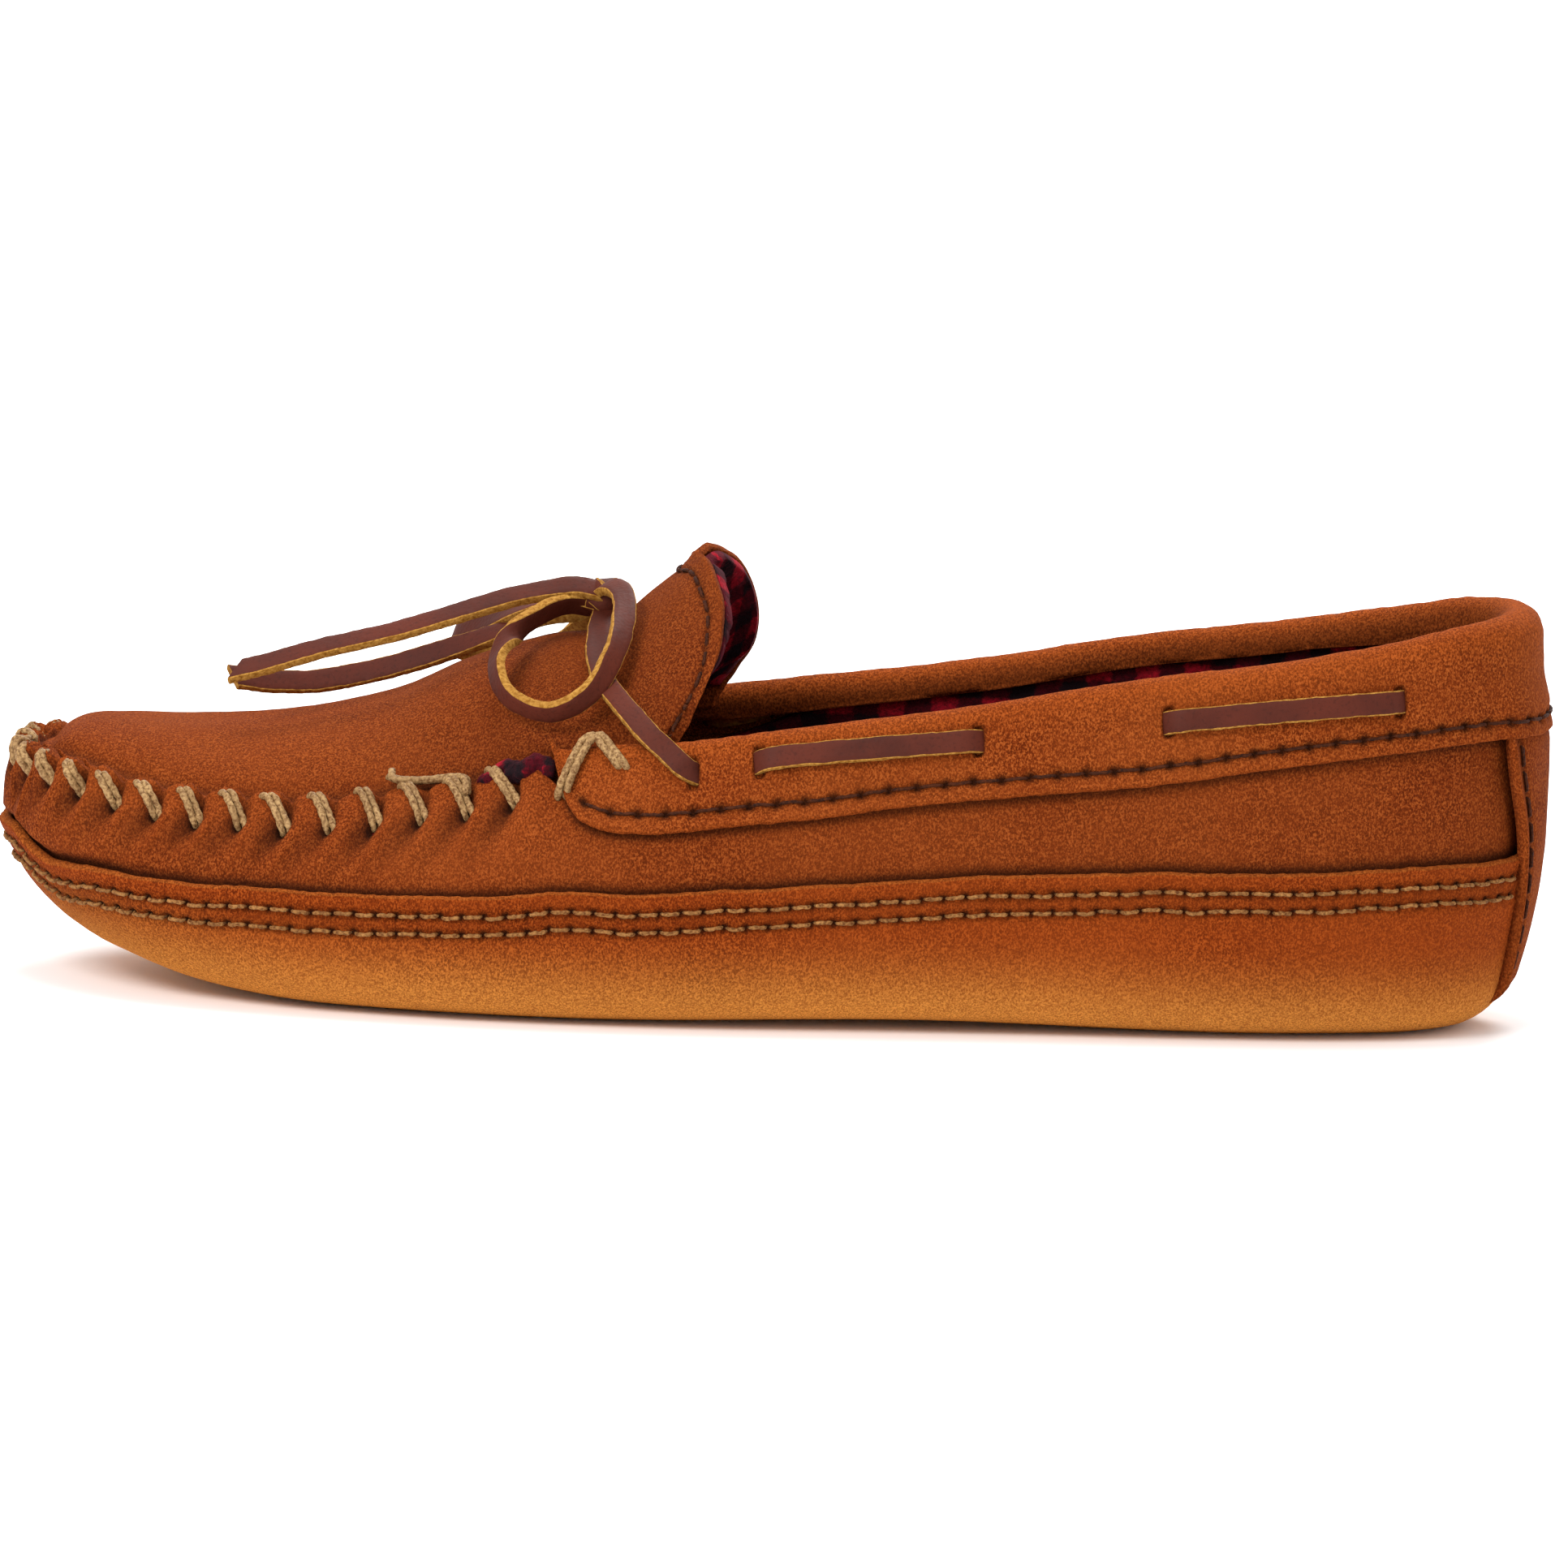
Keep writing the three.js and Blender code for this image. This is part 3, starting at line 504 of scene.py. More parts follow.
class Nodes:
    """Short calls that add nodes to one material."""

    def __init__(self, name):
        self.material = bpy.data.materials.new(name)
        self.material.use_nodes = True
        self.tree = self.material.node_tree
        self.shader = self.tree.nodes["Principled BSDF"]
        self.place = self.add("ShaderNodeTexCoord").outputs["Object"]

    def add(self, kind, **settings):
        node = self.tree.nodes.new(kind)
        for key, value in settings.items():
            setattr(node, key, value)
        return node

    def put(self, socket, value):
        if isinstance(value, bpy.types.NodeSocket):
            self.tree.links.new(value, socket)
        else:
            socket.default_value = value

    def noise(self, scale, detail=2.0, roughness=0.5, vector=None, distortion=0.0, output="Fac"):
        node = self.add("ShaderNodeTexNoise")
        self.put(node.inputs["Vector"], vector or self.place)
        values = {"Scale": scale, "Detail": detail, "Roughness": roughness, "Distortion": distortion}
        for key, value in values.items():
            self.put(node.inputs[key], value)
        return node.outputs[output]

    def math(self, operation, a, b=0.0, c=0.0):
        node = self.add("ShaderNodeMath", operation=operation)
        for socket, value in zip(node.inputs, (a, b, c)):
            self.put(socket, value)
        return node.outputs[0]

    def vector(self, operation, a, b):
        node = self.add("ShaderNodeVectorMath", operation=operation)
        self.put(node.inputs[0], a)
        self.put(node.inputs[1], b)
        return node.outputs[0]

    def span(self, value, low, high, to_low=0.0, to_high=1.0):
        node = self.add("ShaderNodeMapRange")
        for socket, v in zip(node.inputs, (value, low, high, to_low, to_high)):
            self.put(socket, v)
        return node.outputs[0]

    def mix(self, factor, a, b):
        node = self.add("ShaderNodeMix", data_type="RGBA", blend_type="MIX")
        self.put(node.inputs["Factor"], factor)
        self.put(node.inputs["A"], a)
        self.put(node.inputs["B"], b)
        return node.outputs["Result"]

    def attribute(self, name, kind="Fac"):
        return self.add("ShaderNodeAttribute", attribute_name=name).outputs[kind]

    def bump(self, height, distance, strength=1.0, normal=None):
        node = self.add("ShaderNodeBump")
        self.put(node.inputs["Height"], height)
        self.put(node.inputs["Distance"], distance)
        self.put(node.inputs["Strength"], strength)
        if normal:
            self.put(node.inputs["Normal"], normal)
        return node.outputs[0]

    def finish(self, colour, roughness, normal=None, **fixed):
        self.put(self.shader.inputs["Base Color"], colour)
        self.put(self.shader.inputs["Roughness"], roughness)
        if normal:
            self.put(self.shader.inputs["Normal"], normal)
        for key, value in fixed.items():
            self.shader.inputs[key.replace("_", " ")].default_value = value
        return self.material


LIT = 0.55  # a surface shows its display colour in the studio light when it reflects this share of it


def rgb(red, green, blue):
    """The reflected colour of a surface that shows as these display values, 0 to 255, in the studio light."""
    shown = [v / 255 for v in (red, green, blue)]
    linear = [v / 12.92 if v <= 0.04045 else ((v + 0.055) / 1.055) ** 2.4 for v in shown]
    return (*(LIT * v for v in linear), 1.0)


def suede(name, dark, middle, light, worn_and_lit_tone):
    """Napped leather: short fibres and brushed patches, painted shade in creases and needle holes, and a
    paler tone for worn places and for painted light.
    """
    n = Nodes(name)
    brushed = n.vector("MULTIPLY", n.place, (1.0, 0.7, 0.62))
    fibres = n.noise(3400, 2.5, 0.6, brushed, 0.5)
    grain = n.noise(2100, 2, 0.5)
    patches = n.noise(150, 4, 0.6)
    broad = n.noise(24, 3, 0.5)
    nap = n.math("ADD", n.math("MULTIPLY", fibres, 0.66), n.math("MULTIPLY", grain, 0.34))
    bright = tuple(min(1.0, 1.5 * c) for c in worn_and_lit_tone[:3]) + (1.0,)
    dull = tuple(0.62 * c for c in worn_and_lit_tone[:3]) + (1.0,)
    tone = n.mix(n.span(nap, 0.42, 0.5), dark, middle)
    tone = n.mix(n.span(nap, 0.5, 0.59), tone, light)
    tone = n.mix(n.span(patches, 0.35, 0.68, 0.0, 0.34), tone, middle)
    worn_and_lit = n.mix(n.span(nap, 0.41, 0.59), dull, bright)
    tone = n.mix(n.span(broad, 0.3, 0.7, 0.0, 0.34), tone, light)
    # Paler tone for worn places and for painted light: bounce light on the sole's lower rim, highlights on
    # folds and tops.
    tone = n.mix(n.attribute("wear_and_painted_light"), tone, worn_and_lit)
    # Painted shade: near-black in needle holes, creases, seams and under laps.
    tone = n.mix(n.math("MULTIPLY", n.attribute("dark"), 0.93), tone, (0.012, 0.004, 0.002, 1))
    normal = n.bump(n.noise(70, 3, 0.5), 0.0005, 0.5)
    normal = n.bump(nap, 0.0004, 0.9, normal)
    sheen = {"Sheen_Weight": 0.02, "Sheen_Roughness": 0.4, "Sheen_Tint": light}
    return n.finish(tone, 0.94, normal, **sheen, Specular_IOR_Level=0.04)


CHECK_WIDTH = 4.0


def fleece(name):
    """Brushed cloth in red and black checks. The attribute cloth holds millimetres on the sheet."""
    n = Nodes(name)
    across = n.attribute("cloth", "Vector")
    wander = n.vector("SUBTRACT", n.noise(900.0, 3.0, output="Color"), (0.5, 0.5, 0.5))
    across = n.vector("ADD", across, n.vector("MULTIPLY", wander, (1.9, 1.9, 1.9)))
    split = n.add("ShaderNodeSeparateXYZ")
    n.put(split.inputs[0], across)
    bars = []
    for axis in ("X", "Y"):
        wave = n.math("SINE", n.math("MULTIPLY", split.outputs[axis], math.pi / CHECK_WIDTH))
        bars.append(n.span(wave, -0.22, 0.22))
    both = n.math("MULTIPLY", bars[0], bars[1])
    either = n.math("MAXIMUM", bars[0], bars[1])
    black, wine, red = rgb(26, 20, 24), rgb(92, 10, 24), rgb(196, 24, 44)
    tone = n.mix(either, black, wine)
    tone = n.mix(both, tone, red)
    pile = n.noise(1500, 4, 0.65)
    tone = n.mix(n.span(pile, 0.3, 0.62, 0.75, 0.0), tone, (0.004, 0.002, 0.003, 1))
    normal = n.bump(n.noise(420, 3, 0.6), 0.0008, 0.8)
    normal = n.bump(pile, 0.0004, 0.8, normal)
    sheen = {"Sheen_Weight": 0.35, "Sheen_Roughness": 0.5, "Sheen_Tint": rgb(190, 60, 80)}
    return n.finish(tone, 0.97, normal, **sheen, Specular_IOR_Level=0.1)


def lace_grain():
    """The lace's smooth side: dark leather with a fine cell pattern."""
    n = Nodes("lace_grain")
    broad = n.noise(60, 3, 0.6)
    fine = n.noise(1500, 2, 0.5)
    tone = n.mix(n.span(broad, 0.35, 0.65), rgb(84, 33, 20), rgb(110, 46, 29))
    tone = n.mix(n.span(fine, 0.3, 0.45, 0.35, 0.0), tone, rgb(56, 22, 12))
    cells = n.add("ShaderNodeTexVoronoi")
    n.put(cells.inputs["Vector"], n.place)
    n.put(cells.inputs["Scale"], 1300.0)
    normal = n.bump(cells.outputs["Distance"], 0.00008, 0.5)
    normal = n.bump(broad, 0.0003, 0.4, normal)
    return n.finish(tone, n.span(broad, 0.3, 0.7, 0.58, 0.72), normal, Specular_IOR_Level=0.14)


def lace_flesh():
    """The lace's rough side and cut edges: pale fibres."""
    n = Nodes("lace_flesh")
    nap = n.noise(1300, 4, 0.65)
    broad = n.noise(120, 3, 0.6)
    tone = n.mix(n.span(nap, 0.35, 0.65), rgb(150, 94, 26), rgb(236, 176, 84))
    tone = n.mix(n.span(broad, 0.35, 0.7, 0.0, 0.5), tone, rgb(180, 124, 52))
    normal = n.bump(nap, 0.0003, 0.8)
    return n.finish(tone, 0.95, normal, Specular_IOR_Level=0.08)


def thread_material(name, dark, light, wax):
    """Plied thread: fibres run along it, and the valleys between plies are darker; painted shade darkens it
    where it sinks into its needle holes.
    """
    n = Nodes(name)
    fibres = n.noise(1700, 3, 0.6)
    broad = n.noise(180, 2, 0.5)
    tone = n.mix(n.span(fibres, 0.34, 0.62), dark, light)
    tone = n.mix(n.span(broad, 0.3, 0.7, 0.0, 0.4), tone, dark)
    # Painted shade where the thread sinks into the leather.
    tone = n.mix(n.attribute("dark"), tone, (0.02, 0.01, 0.006, 1))
    normal = n.bump(fibres, 0.0002, 0.7)
    return n.finish(tone, wax, normal, Specular_IOR_Level=0.14)


def felt(name, colour):
    n = Nodes(name)
    pile = n.noise(1200, 4, 0.6)
    tone = n.mix(pile, tuple(0.75 * c for c in colour[:3]) + (1,), colour)
    return n.finish(tone, 0.95, n.bump(pile, 0.0004, 0.7))


# The last colour of each suede is its tone for worn places and painted light; the sole's, brighter than any
# display colour, is painted bounce light from the floor on its lower rim.
UPPER = suede("suede_upper", rgb(84, 25, 3), rgb(134, 53, 15), rgb(186, 94, 39), rgb(164, 76, 27))
SOLE = suede("suede_sole", rgb(94, 28, 4), rgb(146, 57, 14), rgb(196, 92, 32), (0.86, 0.3, 0.056, 1.0))
BAND = suede("suede_collar", rgb(92, 29, 3), rgb(144, 59, 17), rgb(196, 101, 42), rgb(178, 84, 29))
PLAID = fleece("plaid_fleece")
GRAIN = lace_grain()
FLESH = lace_flesh()
WAXED = thread_material("waxed_thread", rgb(120, 78, 40), rgb(222, 178, 120), 0.62)
SOLE_THREAD = thread_material("sole_thread", rgb(110, 62, 26), rgb(206, 146, 82), 0.75)
DARK_THREAD = thread_material("dark_thread", rgb(40, 14, 3), rgb(96, 44, 14), 0.8)
FELT = felt("felt", rgb(214, 204, 186))


# ---- lace and bow


def open_route(points, count):
    """Points spaced evenly along a smooth curve through the given points, and its length."""
    p = np.array(points, float)
    p = np.vstack([2 * p[0] - p[1], p, 2 * p[-1] - p[-2]])
    parts = [catmull_rom(*p[i - 1 : i + 3], 24) for i in range(1, len(p) - 2)]
    out = np.vstack([*parts, p[-2][None]])
    run = run_along(out)
    return by_column(np.linspace(0, run[-1], count), run, out), run[-1]


# The thong's section, from the left end of its grain face round to the flesh side and back.
SECTION = np.array([
    (-0.46, 0.5), (-0.23, 0.53), (0.0, 0.54), (0.23, 0.53), (0.46, 0.5), (0.5, 0.42), (0.51, 0.14),
    (0.505, -0.18), (0.46, -0.47), (0.23, -0.52), (0.0, -0.53), (-0.23, -0.52), (-0.46, -0.47),
    (-0.505, -0.18), (-0.51, 0.14), (-0.5, 0.42),
])  # fmt: skip
GRAIN_COLUMNS = 4


def thong(name, points, facings, body, node, end_cut=0.0, thick=LACE_THICK):
    """A flat leather thong along points; each facing is the way its grain side looks."""
    along = unit(np.gradient(points, axis=0))
    face = unit(facings - along * np.sum(facings * along, 1, keepdims=True))
    across = np.cross(along, face)
    w = SECTION[:, 0][None, :] * LACE_WIDTH
    h = SECTION[:, 1][None, :] * thick
    grid = points[:, None, :] + across[:, None, :] * w[..., None] + face[:, None, :] * h[..., None]
    ragged = rough(grid, (0.1, 0.8, 7), (0.1, 2.6, 8))
    edge = np.abs(SECTION[:, 0]) > 0.4
    grid = grid + across[:, None, :] * (np.sign(w) * ragged * edge)[..., None]
    if end_cut:
        ramp = np.clip((np.arange(len(points)) - len(points) + 8) / 7, 0, 1)[:, None] ** 2
        grid += along[:, None, :] * (ramp * SECTION[:, 0] * LACE_WIDTH * end_cut)[..., None]
    columns = len(SECTION)
    faces = grid_faces(len(points), columns, False)
    vertices = grid.reshape(-1, 3)
    of_face = faces % columns
    column = np.where(np.ptp(of_face, axis=1) > 1, of_face.max(1), of_face.min(1))
    flesh = column >= GRAIN_COLUMNS
    flesh[(len(points) - 1) * columns :] = True
    faces = facing_out(vertices, faces)
    obj = new_object(name, vertices, faces, [GRAIN, FLESH], body, [node], None, flesh)
    obj.data.set_sharp_from_angle(angle=math.radians(38))
    return obj


BOW_POINTS = 120
BOW_THICK = 1.7


def bow_piece(name, path, faces, body, end_cut):
    """One loop or tail of the bow: a cord from the knot, on a body named after its CAD node."""
    points, length = open_route(path, BOW_POINTS)
    facings = by_column(np.linspace(0, 1, BOW_POINTS), np.linspace(0, 1, len(faces)), faces)
    obj = thong(name, points, blurred(facings, [1] * 9), body, body, end_cut, BOW_THICK)


NEAR_LOOP = [
    (104.6, -1.4, 70.4), (100, -4, 71), (94.5, -9, 69), (89.8, -17, 65.4), (88.5, -24, 61.2),
    (91.5, -30, 57), (99, -34.4, 55.4), (105.4, -33.4, 58.6), (109.6, -27, 65.2), (111, -16.5, 71.4),
    (110, -9, 74.2), (107.6, -4.6, 74.4), (105.6, -1.6, 72.6),
]  # fmt: skip
NEAR_LOOP_FACE = [
    (0.1, -0.85, -0.5), (0.1, -0.85, -0.5), (0, -0.9, -0.4), (-0.4, -0.9, -0.1), (-0.8, -0.6, 0),
    (-0.5, -0.75, -0.45), (0, -0.75, -0.65), (0.3, -0.85, -0.4), (0.45, -0.87, 0.1), (0.4, -0.8, 0.4),
    (0.1, -0.4, 0.9), (-0.3, -0.1, 0.95), (-0.6, 0, 0.8),
]  # fmt: skip
FAR_LOOP = [
    (104.4, 1.6, 70), (100, 4.5, 70.5), (92.5, 13, 67.4), (84.5, 23, 63), (78.8, 30.5, 59.2),
    (79.8, 35.5, 56.4), (87, 37.8, 55), (96.5, 34.2, 57.4), (103, 25, 64), (107, 14, 71.6),
    (106.6, 7, 73.4), (105.4, 2, 72),
]  # fmt: skip
FAR_LOOP_FACE = [
    (0, -0.4, 0.9), (0, -0.5, 0.9), (0, -0.6, 0.8), (-0.2, -0.7, 0.6), (-0.8, -0.4, 0.3), (-0.4, 0.9, 0),
    (0, 0.9, -0.3), (0.2, 0.9, 0), (0.3, 0.7, 0.5), (0.2, 0.3, 1), (0, 0.1, 1), (-0.4, 0, 0.9),
]  # fmt: skip
NEAR_TAIL = [
    (107.4, -2.2, 71.4), (105.6, -2.8, 73.2), (101.6, -3, 73.9), (97.7, -3.4, 73.4), (90.6, -4, 71.9),
    (83.5, -5.4, 69.7), (69.6, -8, 65.3), (55.3, -9.6, 61.6), (46.8, -10.5, 58.9), (40.6, -11, 57.2),
]  # fmt: skip
NEAR_TAIL_FACE = [
    (0.7, -0.5, 0.5), (0.25, -0.5, 0.85), (0, -0.5, 0.87), (0, -0.5, 0.87), (0, -0.52, 0.86), (0, -0.6, 0.8),
]  # fmt: skip
FAR_TAIL = [
    (106, 1.5, 69.4), (103, 3, 68.6), (99.4, 4, 67.8), (90, 14, 63.5), (78, 18, 58.6), (66, 19, 54.4),
    (54, 18, 51.8), (46, 16.5, 51.6), (38.7, 15, 52.4),
]  # fmt: skip
FAR_TAIL_FACE = [(0, -0.3, 0.9), (0, -0.5, 0.85), (0, -0.75, 0.6), (0, -0.8, 0.5), (0, -0.75, 0.6)]

bow_piece("near_loop", NEAR_LOOP, NEAR_LOOP_FACE, "near_bow_loop", 0.0)
bow_piece("far_loop", FAR_LOOP, FAR_LOOP_FACE, "far_bow_loop", 0.0)
bow_piece("near_tail", NEAR_TAIL, NEAR_TAIL_FACE, "near_bow_tail", -0.85)
bow_piece("far_tail", FAR_TAIL, FAR_TAIL_FACE, "far_bow_tail", 0.5)

LACE_SHOWN = [(138, 177), (211, 253)]
LACE_HOLE = 126
LACE_LEAD = {
    -1: [
        (107, -3, 69.6), (106.4, -12, 67.3), (106.4, -21, 64), (108, -28.5, 60.4), (112.6, -35.2, 56.4),
        (117, -40.2, 52.6),
    ],
    1: [
        (107, 3, 69.6), (106.4, 11, 67.3), (106.4, 19, 63.8), (108, 26, 60.2), (112.6, 32.4, 56.4),
        (117, 37, 52.6),
    ],
}  # fmt: skip
LACE_LEAD_FACE = [(0, 0.1, 1), (0, 0.35, 1), (0, 0.6, 1), (0, 0.8, 0.9), (0.1, 0.85, 0.7), (0.1, 0.9, 0.55)]
LACE_OUTSIDE = -(LACE_THICK / 2 + 0.15)
LACE_INSIDE = SUEDE + 0.4 + LACE_THICK / 2


LACE_MEETS_COLLAR = 121.5
SLOT_SLOPE = 3.4
BEFORE_TOE = -50


def lace_depth(x):
    """The lace's depth: on the collar where it shows, and behind the collar's face between its slots."""

    def outside(start, end):
        return smooth((x - start) / SLOT_SLOPE + 0.5) * smooth((end - x) / SLOT_SLOPE + 0.5)

    share = outside(BEFORE_TOE, LACE_HOLE) + sum(outside(a, b) for a, b in LACE_SHOWN)
    return mix(LACE_INSIDE, LACE_OUTSIDE, np.minimum(1, share))


def lace_route():
    """The lace's points and facings: from the knot, round the collar and back to the knot."""
    s = np.linspace(side_at(LACE_MEETS_COLLAR, -1), side_at(LACE_MEETS_COLLAR, 1) - 1, 900)
    x = outline(s)[0]
    z = lace_height(x) + 7.3 * smooth((LACE_HOLE - x) / 11)
    points = layer(s, z, lace_depth(x))
    facings = form_normal(s, z)
    points = np.vstack([LACE_LEAD[-1], points[::3], LACE_LEAD[1][::-1]])
    facings = np.vstack([np.array(LACE_LEAD_FACE) * (1, -1, 1), facings[::3], LACE_LEAD_FACE[::-1]])
    run = run_along(points)
    even = np.arange(0, run[-1], 0.8)
    return blurred(by_column(even, run, points), [1] * 5), by_column(even, run, facings)


lace_points, lace_facings = lace_route()
thong("lace_thong", lace_points, lace_facings, "shoe", "lace")


# ---- places of the stitches

WHIP_COUNT = 29
whip_from = side_at(COLLAR_FRONT - 3, -1)
whip_to = side_at(COLLAR_FRONT - 3, 1)
WHIP_PITCH = (whip_to - whip_from) / WHIP_COUNT
whip_s = whip_from + (np.arange(WHIP_COUNT) + 0.5) * WHIP_PITCH

STITCHES = 156
strap_half_width = curve([(0, 11), (17, 13), (33, 15.5), (56, 21)])
stitch_from = (strap_half_width(30) + 1.0) / PERIMETER
stitch_s = np.linspace(stitch_from, 1 - stitch_from, STITCHES + 1)


def wavy(height, s, *terms):
    """The height of a cut edge at s, made wavy by the noises."""
    x, y, _, _ = outline(s)
    p = np.stack([x, y, 0 * x], -1)
    return sum((tall * noise(p, size, seed) for tall, size, seed in terms), height(x))


def wrap_edge(s):
    """The outer sole's cut edge."""
    return wavy(wrap_top, s, (0.55, 17, 21), (0.16, 4, 22), (0.12, 0.9, 23))


ROW_BELOW = (3.7, 7.0)


def hole_dents(s, z, hole_s, hole_z, size):
    """How near each point is to the closest needle hole: 1 at its middle, 0 beyond its edge."""
    gap = hole_s[1] - hole_s[0]
    nearest = np.clip(np.round((s - hole_s[0]) / gap), 0, len(hole_s) - 1)
    ds = (s - (hole_s[0] + nearest * gap)) * PERIMETER
    return np.exp(-(ds**2 + (z - hole_z) ** 2) / size**2)


# ---- outer sole


def rounded_edge(s, z, outer, inner, count=5):
    """Loop points over a cut edge at height z, from the outer face's depth to the inner face's."""
    half = (inner - outer) / 2
    out = []
    for a in np.linspace(0, np.pi, count + 2)[1:-1]:
        out.append(layer(s, z - half * 0.75 * (1 - np.sin(a)), outer + half * (1 - np.cos(a))))
    return out


def spine_points(s, share, lift):
    """Points under the foot: from the wall's foot (share 0) to the sole's long middle line (share 1)."""
    foot = on_form(s, base_height(s))
    middle_x = np.clip(foot[..., 0], 45, 245)
    x = mix(foot[..., 0], middle_x, share)
    y = mix(foot[..., 1], middle_line(middle_x), share)
    return np.stack([x, y, floor_height(x) + lift], -1)


def tub_grid(s, outer_rows, edge, inner_rows, bottom_out, bottom_in, shares):
    """One loop per outline place: under the sole, up the outside, over the edge, down the inside and back."""
    under = [spine_points(s, share, bottom_out) for share in shares[::-1]]
    back = [spine_points(s, share, bottom_in) for share in shares]
    return np.stack([*under, *outer_rows, *edge, *inner_rows, *back], 1)


SOLE_HOLE = 0.68


def outer_sole():
    s = np.linspace(0, 1, STITCHES * 7, endpoint=False)
    base = base_height(s)
    top = wrap_edge(s)
    shares = np.linspace(0.0, 1.0, 9) ** 0.8
    levels = np.concatenate([np.linspace(0.004, 0.3, 12), np.linspace(0.33, 1, 40)])
    outer, dark, wear_and_painted_light = [], [], []
    for level in levels:
        z = mix(base, top - 0.6, level)
        here = on_form(s, z)
        below = top - z
        soft = rough(here, (0.34, 26, 1), (0.2, 9, 2), (0.05, 2.2, 3))
        pull = sum(0.3 * np.exp(-((below - row) ** 2) / 1.3) for row in ROW_BELOW)
        holes = sum(hole_dents(s, z, stitch_s, top - row, SOLE_HOLE) for row in ROW_BELOW)
        lip = -0.35 * np.exp(-(below**2) / 3.0)
        outer.append(layer(s, z, np.maximum(-0.6, -soft * smooth(level * 5) + pull + 0.7 * holes + lip)))
        # Painted shade in the needle holes and in a faint band between the two rows.
        dark.append(np.minimum(1, 1.35 * holes + 0.12 * np.exp(-((below - 5.3) ** 2) / 5)))
        # Painted bounce light from the floor: paler towards the sole's lower rim.
        wear_and_painted_light.append(0.9 * np.clip(1.0 - (z - base) / 20, 0, 1) ** 2.4)
    edge = rounded_edge(s, top, -0.35, OUTER_SOLE)
    inner_levels = (0.97, 0.8, 0.6, 0.4, 0.2, 0.05)
    inner = [layer(s, mix(base, top, level), OUTER_SOLE) for level in inner_levels]
    grid = tub_grid(s, outer, edge, inner, 0.0, OUTER_SOLE, shares)
    rest = len(inner) + len(shares)
    # The underside takes the full painted bounce light; the cut edge a little painted shade.
    marks = {
        "dark": bands(len(s), (0, len(shares)), dark, (0.1, len(edge)), (0, rest)),
        "wear_and_painted_light": bands(len(s), (1, len(shares)), wear_and_painted_light, (0.08, len(edge)), (0, rest)),
    }
    loft("outer_sole_wrap", grid, [SOLE], "shoe", ["outer_sole"], True, marks)


outer_sole()


def sole_stitches(name, node, below, seed):
    """One row of thread stitches, at a distance below the sole's cut edge."""
    t = np.linspace(0, 1, 13)
    s = stitch_places(stitch_s, 0.05, t)
    top = wrap_edge(s)
    depth = stitch_depth(t, 0.75, -0.42, 1.9)[None, :]
    rng = np.random.default_rng(seed)
    shift = rng.uniform(-0.16, 0.16, (len(s), 1))
    bow = 0.12 * np.sin(np.pi * t)[None, :] * rng.uniform(-1, 1, (len(s), 1))
    z = top - below + (shift + bow)
    shade = np.repeat(np.clip(depth * 1.2 + 0.1, 0, 1).repeat(len(s), 0).ravel(), SOLE_PLIES[1])
    shape = (layer(s, z, depth), form_normal(s, z), *SOLE_PLIES)
    threads(name, SOLE_THREAD, "sole_thread", [node], *shape, dark=shade)


sole_stitches("sole_stitches_upper", "sole_stitching_upper", ROW_BELOW[0], 5)
sole_stitches("sole_stitches_lower", "sole_stitching_lower", ROW_BELOW[1], 6)


# ---- moccasin body


def body_depth(share):
    """The body's depth below the form: over the midsole pad at its foot, and close to the wall above it."""
    return BODY_DEPTH + (PAD + GAP) * (1 - smooth(share * 1.9))


def toeward(s):
    """1 on the outer side and -1 on the inner: the way s must change to go towards the toe."""
    return np.clip((TOE_S - s) * PERIMETER / 12, -1, 1)


def whip_phase(s, below):
    """Distance in millimetres from the nearest pucker's valley, above 0 towards the toe."""
    way = toeward(s)
    lean = way * 0.5 * np.clip(below - 4.5, 0, 12) ** 1.08 / PERIMETER
    slanted = s - lean
    k = np.clip(np.round((slanted - whip_s[0]) / WHIP_PITCH), 0, WHIP_COUNT - 1)
    return way * (slanted - (whip_s[0] + k * WHIP_PITCH)) * PERIMETER


def whip_zone(s):
    """1 round the stitched toe, falling to 0 beyond its ends."""
    a = smooth((s - whip_from) * PERIMETER / 6 + 0.6)
    b = smooth((whip_to - s) * PERIMETER / 6 + 0.6)
    return a * b


def body_top(s):
    """The height of the body's cut edge: scallops between the whip stitches, and the lap in the collar."""
    x = outline(s)[0]
    seam = seam_height(x)
    between = np.abs(whip_phase(s, 0)) / (WHIP_PITCH * PERIMETER / 2)
    p = np.stack([x, s * PERIMETER, 0 * x], -1)
    ragged = rough(p, (0.3, 1.6, 24), (0.2, 0.7, 25))
    scallop = (0.9 + 1.25 * np.minimum(1, between * 1.3) ** 0.9 + ragged) * whip_zone(s)
    return mix(seam + scallop, body_lap(x), smooth((x - 96.5) / 4.5))


def by_toe(s):
    """1 at the tip of the toe, falling to 0 at its sides."""
    return smooth(1.15 - np.abs(s - TOE_S) * PERIMETER / 62)


